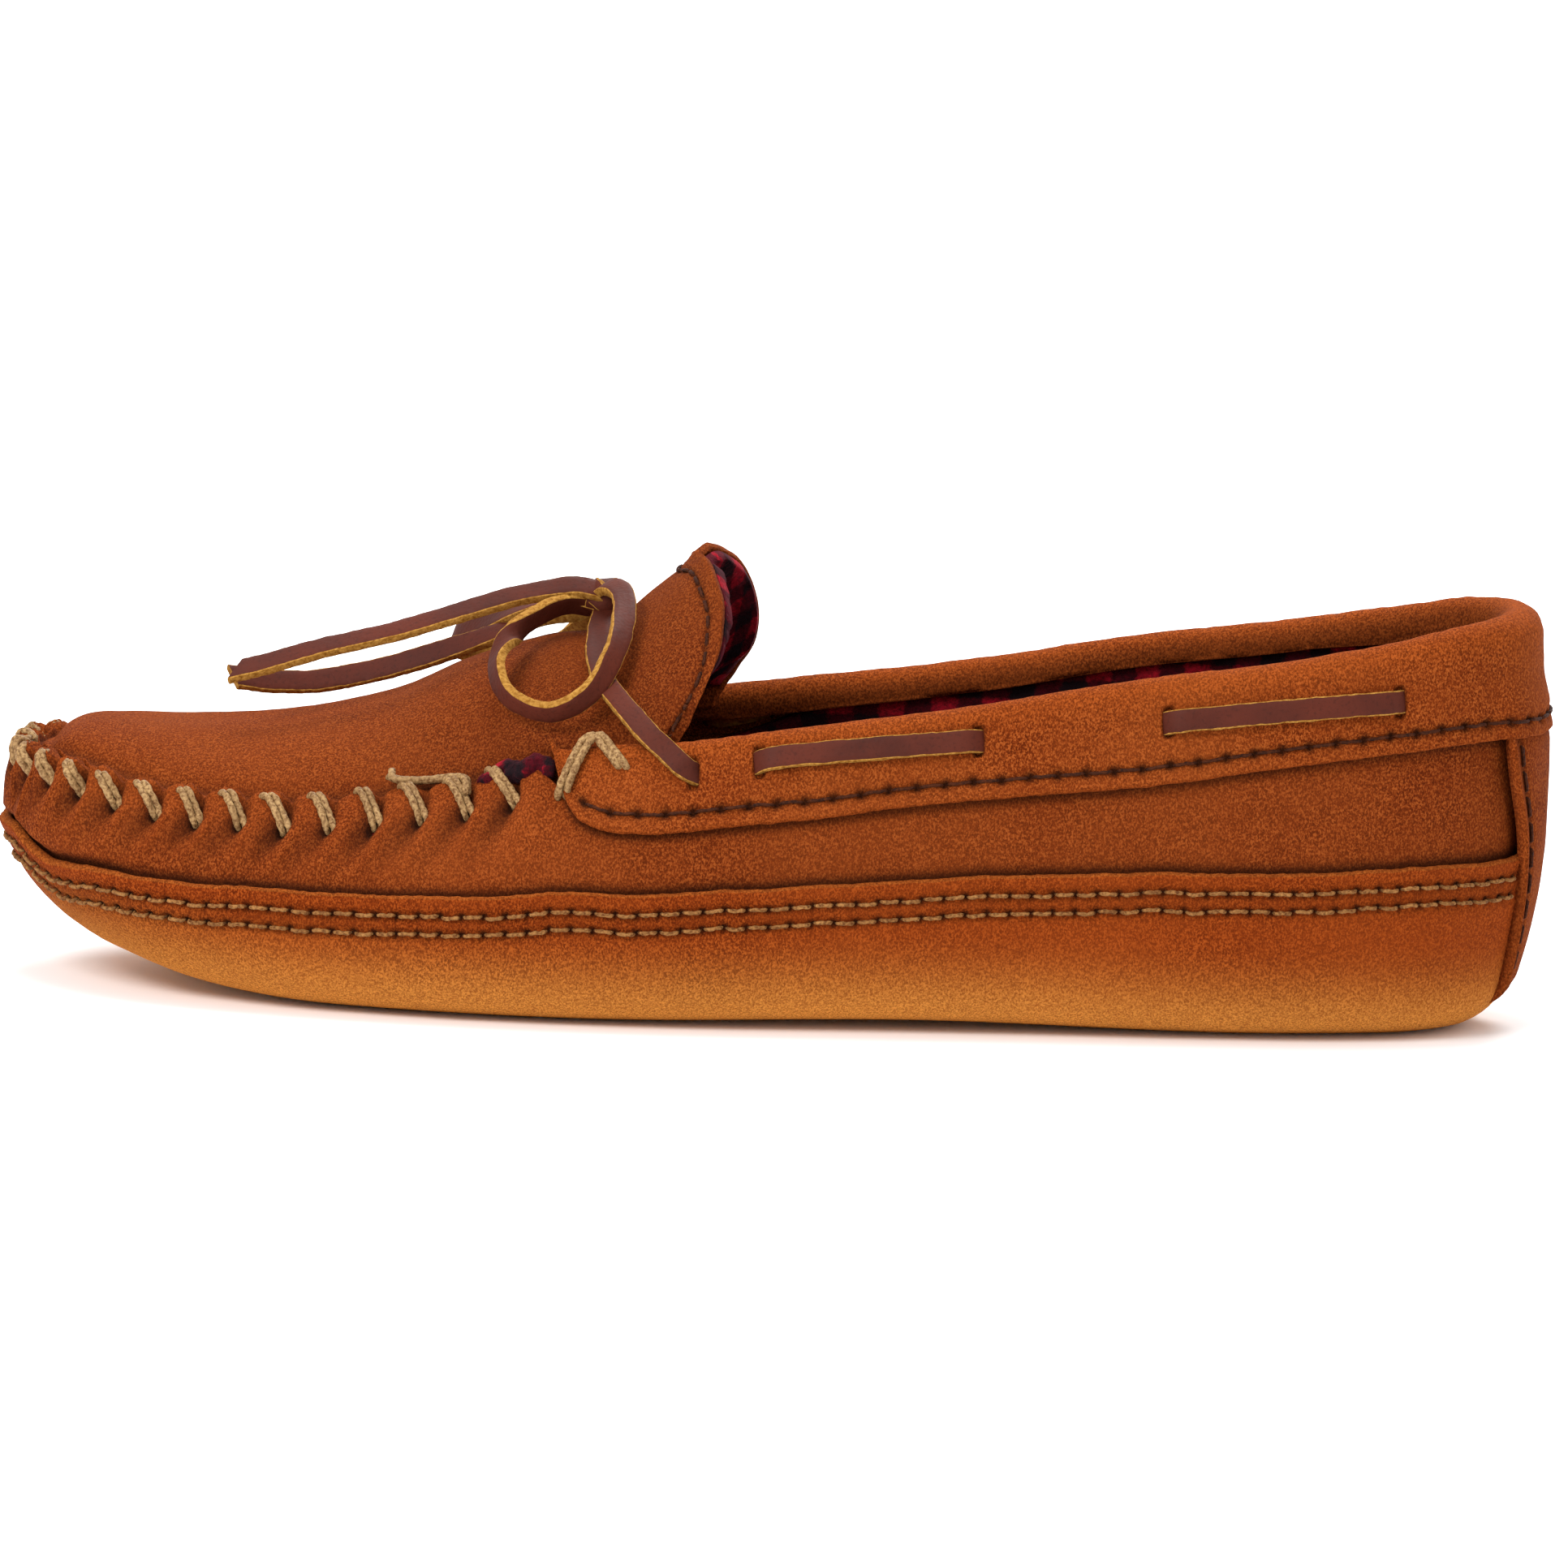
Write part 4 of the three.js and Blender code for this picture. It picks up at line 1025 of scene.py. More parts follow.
def body_face(s, z):
    """The body's outer face with its puckers: its depth below the form, its painted shade, and how pale it is
    for wear and painted highlights.
    """
    x = outline(s)[0]
    below = body_top(s) - z
    over_wrap = z - wrap_edge(s)
    here = on_form(s, z)
    zone = whip_zone(s)
    d = whip_phase(s, below)
    fade = np.exp(-((np.clip(below - 4.2, 0, 30) / 6.8) ** 1.7))
    rise = smooth(below / 2.6)
    width = 0.75 + 0.17 * np.clip(below, 0, 12)
    k = np.round((s - whip_s[0]) / WHIP_PITCH)
    strength = 1 + 0.2 * np.sin(k * 2.7 + 0.6)
    side = np.where(d > 0, 1.7, 0.75)
    valley = np.exp(-((np.abs(d) / (width * side)) ** 1.6)) * fade * mix(0.5, 1, rise) * zone * strength
    between = np.sin(np.pi * np.clip((d + 2.6) / (WHIP_PITCH * PERIMETER), -0.5, 1)) ** 2
    swell = (0.35 + 0.65 * between) * hill(below - 5, 6.5) * zone
    hole = np.exp(-((d / 1.0) ** 2) - ((below - 4.8) / 1.1) ** 2) * zone
    soft = rough(here, (0.3, 24, 4), (0.16, 8, 5), (0.05, 2, 6))
    above_wrap = smooth((over_wrap + 0.5) / 3)
    share = (z - base_height(s)) / corner_height(x)
    out = 3.0 * valley - 2.1 * swell - soft - 1.8 * by_toe(s)
    depth = body_depth(share) + above_wrap * out + hole
    # Painted shade along the sole wrap's edge and under the collar's lower edge.
    lap = hill(np.clip(over_wrap, 0, 40), 1.3) * 0.8
    under_collar = smooth((x - 100) / 3) * np.exp(-((np.clip(collar_bottom(x) - z, 0, 40) / 1.2) ** 2)) * 0.65
    # Painted shade also in the pucker valleys and the needle holes.
    dark = np.clip(0.8 * valley + 1.2 * hole + lap + under_collar, 0, 1)
    # Paler on the swells between puckers, a painted highlight, and along the cut edge.
    wear_and_painted_light = np.clip(0.45 * swell * (1 - valley) + 0.3 * hill(below, 1.2), 0, 1)
    return depth, dark, wear_and_painted_light


def moccasin_body():
    columns = 1240
    s = np.linspace(0, 1, columns, endpoint=False)
    base = base_height(s)
    top = body_top(s)
    edge_z = wrap_edge(s)
    low = [mix(base, edge_z - 3, t) for t in np.linspace(0.01, 0.95, 8)]
    high = [mix(edge_z - 3, top - 0.5, t) for t in np.linspace(0, 1, 44)]
    outer, dark, wear_and_painted_light = [], [], []
    for z in low + high:
        depth, shade, worn_and_lit = body_face(s, z)
        outer.append(layer(s, z, depth))
        dark.append(shade)
        wear_and_painted_light.append(worn_and_lit)
    edge = rounded_edge(s, top, body_face(s, top - 0.5)[0], BODY_DEPTH + SUEDE)
    inner = [
        layer(s, mix(base, top, t), body_depth(mix(base, top, t) / corner_height(outline(s)[0])) + SUEDE)
        for t in (0.96, 0.7, 0.4, 0.15)
    ]
    shares = np.linspace(0.0, 1.0, 4)
    bottom = BODY_DEPTH + PAD + GAP
    grid = tub_grid(s, outer, edge, inner, bottom, bottom + SUEDE, shares)
    rest = len(inner) + len(shares)
    marks = {
        "dark": bands(columns, (0, len(shares)), dark, (0.15, len(edge)), (0, rest)),
        "wear_and_painted_light": bands(columns, (0, len(shares)), wear_and_painted_light, (0.2, len(edge)), (0, rest)),
    }
    loft("moccasin_upper", grid, [UPPER], "shoe", ["moccasin_body"], True, marks)


moccasin_body()


# ---- plug


def edge_depth(x):
    """The depth of the plug's edge: inside the body, and inside the collar's front end."""
    return np.where(x < COLLAR_FRONT, LINING_DEPTH, np.maximum(LINING_DEPTH, collar_thickness(x) + 0.7))


def plug_ends(share):
    """The plug's two edges at a share of the way from the toe to the fold, and how high their lips stand."""
    outer = mix(TOE_S, side_at(HINGE_X - 1, -1), share)
    inner = mix(TOE_S, side_at(HINGE_X - 1, 1), share)
    ends = []
    for s in (outer, inner):
        x = outline(s)[0]
        lip = whip_zone(s)
        between = np.abs(whip_phase(s, 0)) / (WHIP_PITCH * PERIMETER / 2)
        ragged = 0.25 * noise(np.stack([s * PERIMETER, 0 * s, 0 * s], -1), 1.5, 26)
        lip_height = (1.6 + 1.1 * np.minimum(1, between * 1.3) ** 0.9 + ragged) * lip
        ends.append((layer(s, seam_height(x), edge_depth(x)), lip_height))
    return ends


def plug_surface(share, u, drop):
    """A point on the plug: share from the toe to the fold, u across from -1 to 1, drop below its face."""
    (a, lip_a), (b, lip_b) = plug_ends(share)
    p = mix(a, b, ((u + 1) / 2)[..., None])
    x = p[..., 0]
    rise = ridge_height((a[..., 0] + b[..., 0]) / 2) - p[..., 2]
    arch = 1 - np.abs(u) ** arch_power(x)
    half = np.linalg.norm(b - a, axis=-1) / 2
    from_edge = (1 - np.abs(u)) * half
    lip = np.where(u < 0, lip_a, lip_b)
    front = (half * 0 + share) * 60
    near_edge = np.minimum(from_edge, front + 0.2)
    fold = lip * hill(near_edge, 1.5) - 0.5 * hill(near_edge - 3.4, 1.6)
    z = p[..., 2] + np.maximum(0, rise) * arch + fold - drop
    out = np.stack([x, p[..., 1], z], -1)
    soft = rough(out, (0.35, 28, 11), (0.18, 9, 12), (0.04, 2, 13))
    out[..., 2] += soft * smooth(near_edge / 5)
    return out, near_edge


TONGUE_EDGE_X = {
    -1: curve([(49, 122), (52.7, 123.7), (55, 125), (61.5, 127.4), (69, 129), (74.5, 128.8), (83.2, 125.3)]),
    1: curve([(49, 129), (56.8, 132.6), (62, 134.6), (71.4, 133.6), (77.9, 130.6), (83.2, 125.6)]),
}
TONGUE_TOP = 83.2
TONGUE_FOOT = 49.0
TONGUE_SEAM = 4.3


def tongue_half_width(x, side):
    """Half of the tongue's width: the room between the collar's sides at x."""
    wall = layer(side_at(x, side), top_height(x) - 2, collar_thickness(x) + 1.4)
    return np.abs(wall[..., 1])


def tongue_surface(v, u):
    """v from the fold to the free edge, u across from -1 to 1."""
    root, _ = plug_surface(np.ones_like(u), u, 0.0)
    t = np.abs(u)
    half = np.where(u < 0, tongue_half_width(124.0, -1), tongue_half_width(129.0, 1))
    z = TONGUE_FOOT + (TONGUE_TOP - TONGUE_FOOT) * np.maximum(0, 1 - t**2.15) ** 0.56
    x = mix(TONGUE_EDGE_X[-1](z), TONGUE_EDGE_X[1](z), smooth(u / 0.5 + 0.5))
    edge = np.stack([x, np.sign(u) * t * half, z], -1)
    rounding = 0.17 * hill(u, 0.22) + 0.1 * hill(t - 1, 0.08)
    p = mix(root, edge, (v * (1 - rounding))[..., None])
    p[..., 0] += 1.6 * np.sin(np.pi * v) * np.sin(np.pi * t)
    p[..., 1] += 1.2 * np.sin(np.pi * v) * u
    return p


def surface_normals(grid):
    return unit(np.cross(np.gradient(grid, axis=0), np.gradient(grid, axis=1)))


PLUG_SHARES = np.concatenate([np.linspace(0.012, 0.1, 40), np.linspace(0.105, 1, 230)])
TONGUE_ROWS = np.linspace(0, 1, 60)[1:]


def apron_rows(shares, u):
    """Face points of the plug's rows and then the tongue's, how far each is from the seam, v, and two ways.

    The ways are the face's normal, and the way from the back to the face: up on the plug.
    """
    grid_s, grid_u = np.meshgrid(shares, u, indexing="ij")
    plug_face, near_edge = plug_surface(grid_s, grid_u, 0.0)
    grid_v, grid_u2 = np.meshgrid(TONGUE_ROWS, u, indexing="ij")
    tongue_face = tongue_surface(grid_v, grid_u2)
    face = np.concatenate([plug_face, tongue_face])
    v = np.concatenate([0 * grid_s, grid_v])
    normal = surface_normals(face)
    up = unit(mix(np.array([0.0, 0, 1]), normal, smooth(v * 5)[..., None]))
    return face, np.concatenate([near_edge, 9 + 0 * grid_v]), v, normal, up


def apron():
    """The plug and tongue as one leather, bent across the tongue's fold."""
    u = np.sin(np.linspace(-1, 1, 151) * np.pi / 2)
    face, near_edge, v, normal, up = apron_rows(PLUG_SHARES, u)
    long = np.linalg.norm(face[-1] - face[len(PLUG_SHARES) - 1], axis=-1)[None, :]
    from_rim = np.where(v > 0, (1 - v) * long, 30)
    seam = hill(from_rim - TONGUE_SEAM, 0.8)
    soft = rough(face, (0.3, 15, 71), (0.15, 5, 72)) * (v > 0) * smooth(v * 3)
    ragged = 0.25 * noise(face, 1.3, 73) * (from_rim < 0.4)
    lip = 0.35 * hill(from_rim, 1.5)
    face = face + normal * (soft - 0.4 * seam + lip + ragged)[..., None]
    back = (face - up * SUEDE)[:, ::-1]
    grid = np.concatenate([face, back], 1)
    # Painted shade: in the groove beside the plug's seam, along the tongue's hem seam, and growing towards
    # the plug's back under the bow.
    crease = 0.5 * hill(near_edge - 2.6, 1.3)
    painted_shade_under_bow = 0.2 * smooth((face[..., 0] - 48) / 45)
    dark = np.concatenate([np.clip(crease + 0.45 * seam + painted_shade_under_bow, 0, 1), np.zeros_like(crease)], 1)
    # Paler at the plug's lip and along the tongue's rim; the back face a little paler.
    worn_and_lit = 0.25 * hill(near_edge, 1.2) + 0.35 * hill(from_rim, 1.2)
    wear_and_painted_light = np.concatenate([worn_and_lit, 0.2 + np.zeros_like(crease)], 1)
    marks = {"dark": dark, "wear_and_painted_light": wear_and_painted_light}
    obj = loft("apron_suede", grid, [UPPER], None, ["plug", "tongue"], False, marks)
    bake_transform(obj)


apron()


BETWEEN_LEATHER_AND_FLEECE = 0.3


def apron_fleece():
    """The fleece below the plug and behind the tongue."""
    u = np.sin(np.linspace(-0.9, 0.9, 91) * np.pi / 2)
    face, _, _, _, up = apron_rows(np.linspace(0.05, 1, 110), u)
    pile = rough(face, (0.45, 1.5, 74), (0.35, 4, 75))
    depth = SUEDE + BETWEEN_LEATHER_AND_FLEECE
    front = face - up * depth
    back = (face - up * (depth + FLEECE + pile)[..., None])[:, ::-1]
    grid = np.concatenate([front, back], 1)
    run = np.cumsum(np.linalg.norm(np.diff(face, axis=0, prepend=face[:1]), axis=-1), axis=0)
    across = np.cumsum(np.linalg.norm(np.diff(face, axis=1, prepend=face[:, :1]), axis=-1), axis=1)
    sheet = np.stack([run, across, 0 * run], -1)
    cloth = np.concatenate([sheet, sheet[:, ::-1]], 1)
    nodes = ["plug_lining", "tongue_lining"]
    obj = loft("apron_fleece", grid, [PLAID], None, nodes, False, {"cloth": cloth})
    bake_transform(obj)


apron_fleece()


def tongue_stitches():
    """The hem's stitches, along the tongue's free edge."""
    marks = np.linspace(-0.93, 0.93, 27)
    t = np.linspace(0, 1, 11)
    us = np.sin(stitch_places(marks, 0.08, t) * np.pi / 2)
    root = tongue_surface(np.zeros_like(us), us)
    tip = tongue_surface(np.ones_like(us), us)
    vs = 1 - TONGUE_SEAM / np.linalg.norm(tip - root, axis=-1)
    line = tongue_surface(vs, us)
    normal = unit(np.cross(np.gradient(line, axis=1), line - tongue_surface(vs - 0.03, us)))
    outward = np.where(np.sum(normal * np.array([-1, 0, 0.4]), -1, keepdims=True) < 0, -normal, normal)
    lift = stitch_depth(t, -1.3, -0.15, 2.2)[None, :, None]
    shape = (line + outward * lift, outward, *HEM_PLIES)
    threads("tongue_stitches", DARK_THREAD, "dark_thread", ["tongue_stitching"], *shape, body="tongue")


tongue_stitches()


# ---- whip stitching


# Each row: share of the stitch, millimetres below the body's edge, depth below its face, share of the slant.
WHIP_SHAPE = np.array([
    (0.0, 5.1, 1.8, 0.0), (0.12, 4.5, -0.1, 0.05), (0.35, 2.9, -0.62, 0.3), (0.62, 0.8, -0.5, 0.75),
    (0.78, -0.5, 0.6, 0.95), (0.9, -0.8, 2.2, 1.05), (1.0, 0.8, 4.6, 1.1),
])  # fmt: skip
PAIR_APART = 0.74


def whip_stitches():
    """Pairs of waxed thread, each from a hole in the body over the seam and down into the plug's lip."""
    below, depth, along = by_column(np.linspace(0, 1, 26), WHIP_SHAPE[:, 0], WHIP_SHAPE[:, 1:]).T
    rng = np.random.default_rng(11)
    paths, facings = [], []
    for s0 in whip_s:
        x0 = outline(s0)[0]
        zt = float(body_top(s0))
        slant = rng.uniform(4.6, 5.6) * (1.3 if x0 > 84 else 1.0)
        for shift in (-PAIR_APART / PERIMETER, PAIR_APART / PERIMETER):
            s = s0 + shift + (along - 0.1) * slant / PERIMETER * float(toeward(s0))
            level = np.minimum(zt - below, zt - 0.8)
            face = np.minimum(body_face(s, level)[0], BODY_DEPTH + 0.6)
            p = layer(s, level, depth + face)
            p[:, 2] += np.maximum(0, (zt - below) - level)
            paths.append(blurred(p, [1, 2, 3, 2, 1]))
            facings.append(form_normal(s, level))
    shape = (paths, facings, *WHIP_PLIES)
    threads("whip_stitches", WAXED, "waxed_thread", ["toe_whip_stitching"], *shape)


whip_stitches()


def along_seam(side, xs, above, depth):
    """Points by the seam at the places xs, lifted above it and at a depth below the form."""
    xs = np.asarray(xs, float)
    s = side_at(xs, side)
    z = seam_height(np.minimum(xs, HINGE_X)) + np.asarray(above, float)
    return layer(s, z, np.asarray(depth, float)), form_normal(s, z)


def even_path(points, normals, count):
    """Points spaced evenly along a smooth curve, and the normals there."""
    path, _ = open_route(points, count)
    return path, by_column(np.linspace(0, 1, count), np.linspace(0, 1, len(normals)), normals)


def seam_ends():
    """Past the whip stitching, on each side: a stitch over the collar, the tied end and fleece that shows."""
    over_x = np.array([101.4, 102.2, 104.2, 106.6, 108, 110.2, 112.4, 113.4])
    over_above = [-4.6, -4.0, 0.1, 3.4, 3.7, 1.6, -0.6, -1.2]
    over_depth = [2.2, -0.8, -1.1, -0.9, -0.9, -1.0, -0.7, 2.0]
    tied_above = np.array([3.0, 2.6, 2.4, 2.3, 2.2, 1.4, -1.0])
    tied_depth = np.array([1.2, 1.3, 1.8, 2.2, 2.1, 1.6, 1.6])
    shown_x = np.linspace(85, 99.5, 12)
    shown = (shown_x, 1.3 + 0.5 * np.sin(shown_x), 3.0 - 1.3 * np.sin(np.pi * (shown_x - 85) / 14.5))
    for side, name in ((-1, "outer_side"), (1, "inner_side")):
        runs = [(over_x + shift, over_above, over_depth) for shift in (-0.75, 0.75)]
        for rise in (0.0, 0.9):
            above = tied_above - rise * 0.6
            above[0] = 3.0 + rise - rise * 0.6
            runs.append(([66.9 + rise, 68.4, 71, 75, 79, 82.0, 83], above, tied_depth - rise))
        paths, facings = zip(*(even_path(*along_seam(side, *run), 34) for run in runs))
        threads(f"seam_end_threads_{name}", WAXED, "waxed_thread", [], paths, facings, *TIED_PLIES)
        path, facing = even_path(*along_seam(side, *shown), 60)
        verts, faces = tubes(path[None], facing[None], *FLEECE_ROLL)
        verts = verts + rough(verts, (0.5, 1.2, 81), (0.3, 0.6, 82))[:, None] * 0.7
        new_object(f"seam_fleece_{name}", verts, faces, [PLAID], "shoe", [], {"cloth": verts * 1.1})


seam_ends()


# ---- collar

COLLAR_FROM = side_at(COLLAR_FRONT, -1)
COLLAR_TO = side_at(COLLAR_FRONT, 1) - 1
COLLAR_STITCHES = 76
FIRST_STITCH_FROM_END = 0.0105
collar_stitch_s = np.linspace(
    COLLAR_FROM - FIRST_STITCH_FROM_END, COLLAR_TO + FIRST_STITCH_FROM_END, COLLAR_STITCHES + 1
)
COLLAR_STITCH_ABOVE = 3.3
COLLAR_HOLE = 0.85


def slot_places():
    """Where the lace's slots are, on both sides."""
    places = [LACE_HOLE, *[x for shown in LACE_SHOWN for x in shown]]
    return np.array([side_at(x, -1) for x in places] + [side_at(x, 1) - 1 for x in places])


SLOTS = slot_places()


def signed(s):
    """s measured from the heel's middle: up to the toe along the outer side, and below 0 along the inner."""
    return np.where(s > 0.5, s - 1, s)


def collar_edge(s):
    """The collar's lower cut edge."""
    return wavy(collar_bottom, s, (0.35, 15, 31), (0.12, 3.5, 32), (0.1, 0.9, 33))


def collar_top(s):
    """The collar's upper end, with a small rise at its front corner."""
    x = outline(s)[0]
    return top_height(x) + 0.9 * bump((x - COLLAR_FRONT) / 4)


def over_strap(s, z):
    """How far the collar stands out where it laps over the heel strap."""
    across = np.abs(signed(s)) * PERIMETER
    return 1.5 * (1 - smooth((across - 19) / 6)) * (1 - smooth((z - collar_edge(s) - 3) / 9))


def collar():
    """The collar band: up its face, over the roll, down the turned inner band and back inside the leather."""
    uniform = np.linspace(COLLAR_FROM, COLLAR_TO, 700)
    fine = np.concatenate([c + np.arange(-14, 15) * 0.16 / PERIMETER for c in SLOTS])
    s = np.unique(np.concatenate([uniform, fine]))[::-1]
    x = outline(s)[0]
    low = collar_edge(s)
    top = collar_top(s)
    thick = collar_thickness(x)
    radius = thick / 2
    shoulder = np.maximum(top - radius, low + 1.2)
    lace_z = lace_height(x)
    nearest = np.abs(s[:, None] - SLOTS[None, :]).min(1) * PERIMETER
    outer, dark, wear_and_painted_light = [], [], []
    for t in np.linspace(0, 1, 40):
        z = mix(low + 0.6, shoulder, t)
        here = on_form(s, z)
        soft = rough(here, (0.3, 22, 34), (0.18, 7.5, 35), (0.05, 2, 36))
        seam = 0.35 * np.exp(-((z - low - COLLAR_STITCH_ABOVE) ** 2) / 1.4)
        lip = -0.4 * hill(z - low, 2)
        holes = hole_dents(s, z, collar_stitch_s, low + COLLAR_STITCH_ABOVE, COLLAR_HOLE)
        slot = bump((z - lace_z) / 2.9) ** 0.25 * bump(nearest / 1.5)
        pinch = 0.7 * hill(nearest, 7) * hill(z - lace_z, 7)
        depth = -soft * smooth(t * 6) + seam + lip + 0.75 * holes + 2.6 * slot + pinch * 0.5
        depth -= over_strap(s, z)
        outer.append(layer(s, z, np.maximum(depth, -2.6)))
        # Painted shade in the needle holes and the lace's slots.
        dark.append(np.clip(1.4 * holes + 0.95 * slot**0.7, 0, 1))
        # Paler towards the top and over the roll: worn edge and painted top light.
        wear_and_painted_light.append(np.clip(0.5 * smooth((z - top + 9) / 9), 0, 1))
    normal = form_normal(s, shoulder)
    centre = layer(s, shoulder, radius)
    up = unit(on_form(s, shoulder + 0.1) - on_form(s, shoulder - 0.1))
    roll, roll_in = [], []
    for a in np.linspace(0, np.pi, 17)[1:]:
        p = centre + normal * (radius * np.cos(a))[:, None] + up * (radius * np.sin(a))[:, None]
        roll.append(p + rough(p, (0.16, 6, 37), (0.1, 1.6, 38))[..., None] * unit(p - centre))
    hem_z = np.minimum(top - 0.7 * collar_inner_depth(x), shoulder + 0.2)
    for t in np.linspace(0.12, 1, 10):
        p = mix(layer(s, shoulder, thick), layer(s, hem_z - 0.5, thick), t)
        roll.append(p + (0.25 * noise(p, 9, 39))[..., None] * normal)
    for t in np.linspace(1, 0, 5):
        roll_in.append(mix(layer(s, shoulder, thick - SUEDE), layer(s, hem_z - 0.3, thick - SUEDE), t))
    inner_radius = np.maximum(radius - SUEDE, 0.25)
    for a in np.linspace(np.pi, 0, 9)[1:-1]:
        out = normal * (inner_radius * np.cos(a))[:, None]
        roll_in.append(centre + out + up * (inner_radius * np.sin(a))[:, None])
    back = [layer(s, mix(low, shoulder, t), SUEDE) for t in np.linspace(0.95, 0.06, 8)]
    lower_edge = [
        layer(s, low + 0.25, SUEDE * 0.8),
        layer(s, low, SUEDE * 0.45),
        layer(s, low + 0.2, 0.0 - over_strap(s, low) * 0.8),
    ]
    grid = even_loops(np.stack([*outer, *roll, *roll_in, *back, *lower_edge], 1))
    rest = grid.shape[1] - len(outer) - len(roll)
    # Painted shade down the roll's turned inner band.
    shade = [(k, 1) for k in 0.46 * smooth((np.arange(len(roll)) - 7) / 6)]
    marks = {
        "dark": bands(len(s), dark, *shade, (0, rest)),
        "wear_and_painted_light": bands(len(s), wear_and_painted_light, (0.4, 16), (0.1, len(roll) - 16), (0.3, rest)),
    }
    loft("collar_band", grid, [BAND], "shoe", ["collar"], False, marks)


collar()


def collar_stitches():
    """The row of dark stitches above the collar's lower edge."""
    t = np.linspace(0, 1, 15)
    s = stitch_places(collar_stitch_s, 0.06, t)
    low = collar_edge(s)
    z = low + COLLAR_STITCH_ABOVE
    depth = stitch_depth(t, 0.8, 0.0, 2.2)[None, :] - over_strap(s, z)
    shape = (layer(s, z, depth), form_normal(s, z), *FINE_PLIES)
    threads("collar_stitches", DARK_THREAD, "dark_thread", ["collar_stitching"], *shape)


collar_stitches()


# ---- heel strap

STRAP_SEAM = 2.6
HEEL_X = 280
STRAP_TOP = collar_bottom(HEEL_X)


def heel_strap():
    """The strip over the back seam, with a row of stitches along each edge."""
    heights = np.concatenate([np.linspace(3.2, 12, 14), np.linspace(13, STRAP_TOP + 2.0, 46)])
    columns = np.linspace(-1, 1, 61)
    s = (strap_half_width(heights)[:, None] * columns[None, :]) / PERIMETER
    z = np.broadcast_to(heights[:, None], s.shape)
    under = smooth((z - STRAP_TOP + 1.5) / 3)
    tuck = 2.6 * (1 - smooth((z - 3) / 5.5))
    face = -GAP - SUEDE + 0.6 + 0.9 * under + tuck
    flat = layer(s, z, 0)
    edge = np.abs(columns)[None, :]
    inset_mm = (1 - edge) * strap_half_width(heights)[:, None]
    seam = 0.5 * hill(inset_mm - 2.4, 0.9)
    pucker = 0.5 * hill(z - 9, 4) * noise(flat, 3.5, 41)
    lip = -0.45 * hill(inset_mm, 1.2)
    outer = layer(s, z, face + seam + lip - 0.25 * noise(flat, 8, 42) + pucker)
    inner = layer(s, z, tuck + 0.3)[:, ::-1]
    grid = np.concatenate([outer, inner], 1)
    zero = np.zeros_like(inset_mm)
    # Painted shade along the stitched grooves; paler along the cut edges.
    marks = {
        "dark": np.concatenate([0.6 * hill(inset_mm - STRAP_SEAM, 0.6), zero], 1),
        "wear_and_painted_light": np.concatenate([0.35 * hill(inset_mm, 1.0), zero], 1),
    }
    loft("heel_strap_suede", grid, [UPPER], "shoe", ["heel_strap"], False, marks)
    for side, name in ((1, "outer_side"), (-1, "inner_side")):
        stitch_z = np.linspace(11, STRAP_TOP - 0.5, 10)
        t = np.linspace(0, 1, 13)
        zz = stitch_places(stitch_z, 0.06, t)
        ss = side * (strap_half_width(zz) - STRAP_SEAM) / PERIMETER
        depth = 0.35 - GAP - SUEDE + stitch_depth(t, 1.0, 0.25, 2.2)[None, :]
        shape = (layer(ss, zz, depth), form_normal(ss, zz), *FINE_PLIES)
        nodes = [f"heel_strap_stitching_{name}"]
        threads(f"heel_strap_stitches_{name}", DARK_THREAD, "dark_thread", nodes, *shape)


heel_strap()


# ---- linings, insole and pad


def wall_lining():
    """The fleece round the wall, from the insole up into the collar's roll."""
    s = np.linspace(0, 1, 420, endpoint=False)
    x = outline(s)[0]
    base = base_height(s)
    low = mix(base, wrap_top(x), 0.46)
    top = lining_top(x) + 1.8 * smooth((x - 118) / 12)
    inner, outer = [], []
    for t in np.linspace(0, 1, 40):
        z = mix(low, top, t)
        here = on_form(s, z)
        pile = LINING_DEPTH + FLEECE + 0.35 * noise(here, 1.7, 51) + 0.4 * noise(here, 7, 52)
        inner.append(layer(s, z, pile))
    for t in np.linspace(1, 0, 8):
        outer.append(layer(s, mix(low, top, t), LINING_DEPTH + 0 * s))
    grid = np.stack([*inner, *outer], 1)
    run = np.broadcast_to((signed(s) * PERIMETER * 0.86)[:, None], grid.shape[:2])
    cloth = np.stack([run, grid[..., 2], 0 * run], -1)
    loft("wall_fleece", grid, [PLAID], "shoe", ["wall_lining"], True, {"cloth": cloth})


wall_lining()


PAD_S = np.linspace(0, 1, 260, endpoint=False)


def pad_grid(edge, bottom, thickness, crown, rows, fuzz):
    """A soft pad under the foot: crowned on top and rounded at its edge, which stands in from the outline."""
    x, y, nx, ny = outline(PAD_S)
    foot = np.stack([x - nx * edge, y - ny * edge, 0 * x], -1)
    middle_x = np.clip(foot[:, 0], 52, 238)
    loops = []
    half = thickness / 2

    def ring(share, height):
        px = mix(foot[:, 0], middle_x, share)
        py = mix(foot[:, 1], middle_line(middle_x), share)
        return np.stack([px, py, floor_height(px) + height], -1)

    for share in np.linspace(1, 0.04, 8):
        loops.append(ring(share, bottom))
    for a in np.linspace(-np.pi / 2, np.pi / 2, 9):
        loops.append(ring(0.03 - 0.03 * math.cos(a), bottom + half * (1 + math.sin(a))))
    for share in np.linspace(0.04, 1, rows):
        p = ring(share, bottom + thickness + crown * smooth(share * 2.2))
        p[:, 2] += fuzz * noise(p, 1.7, 61) + fuzz * 1.5 * noise(p, 9, 62)
        loops.append(p)
    return even_loops(np.stack(loops, 1))


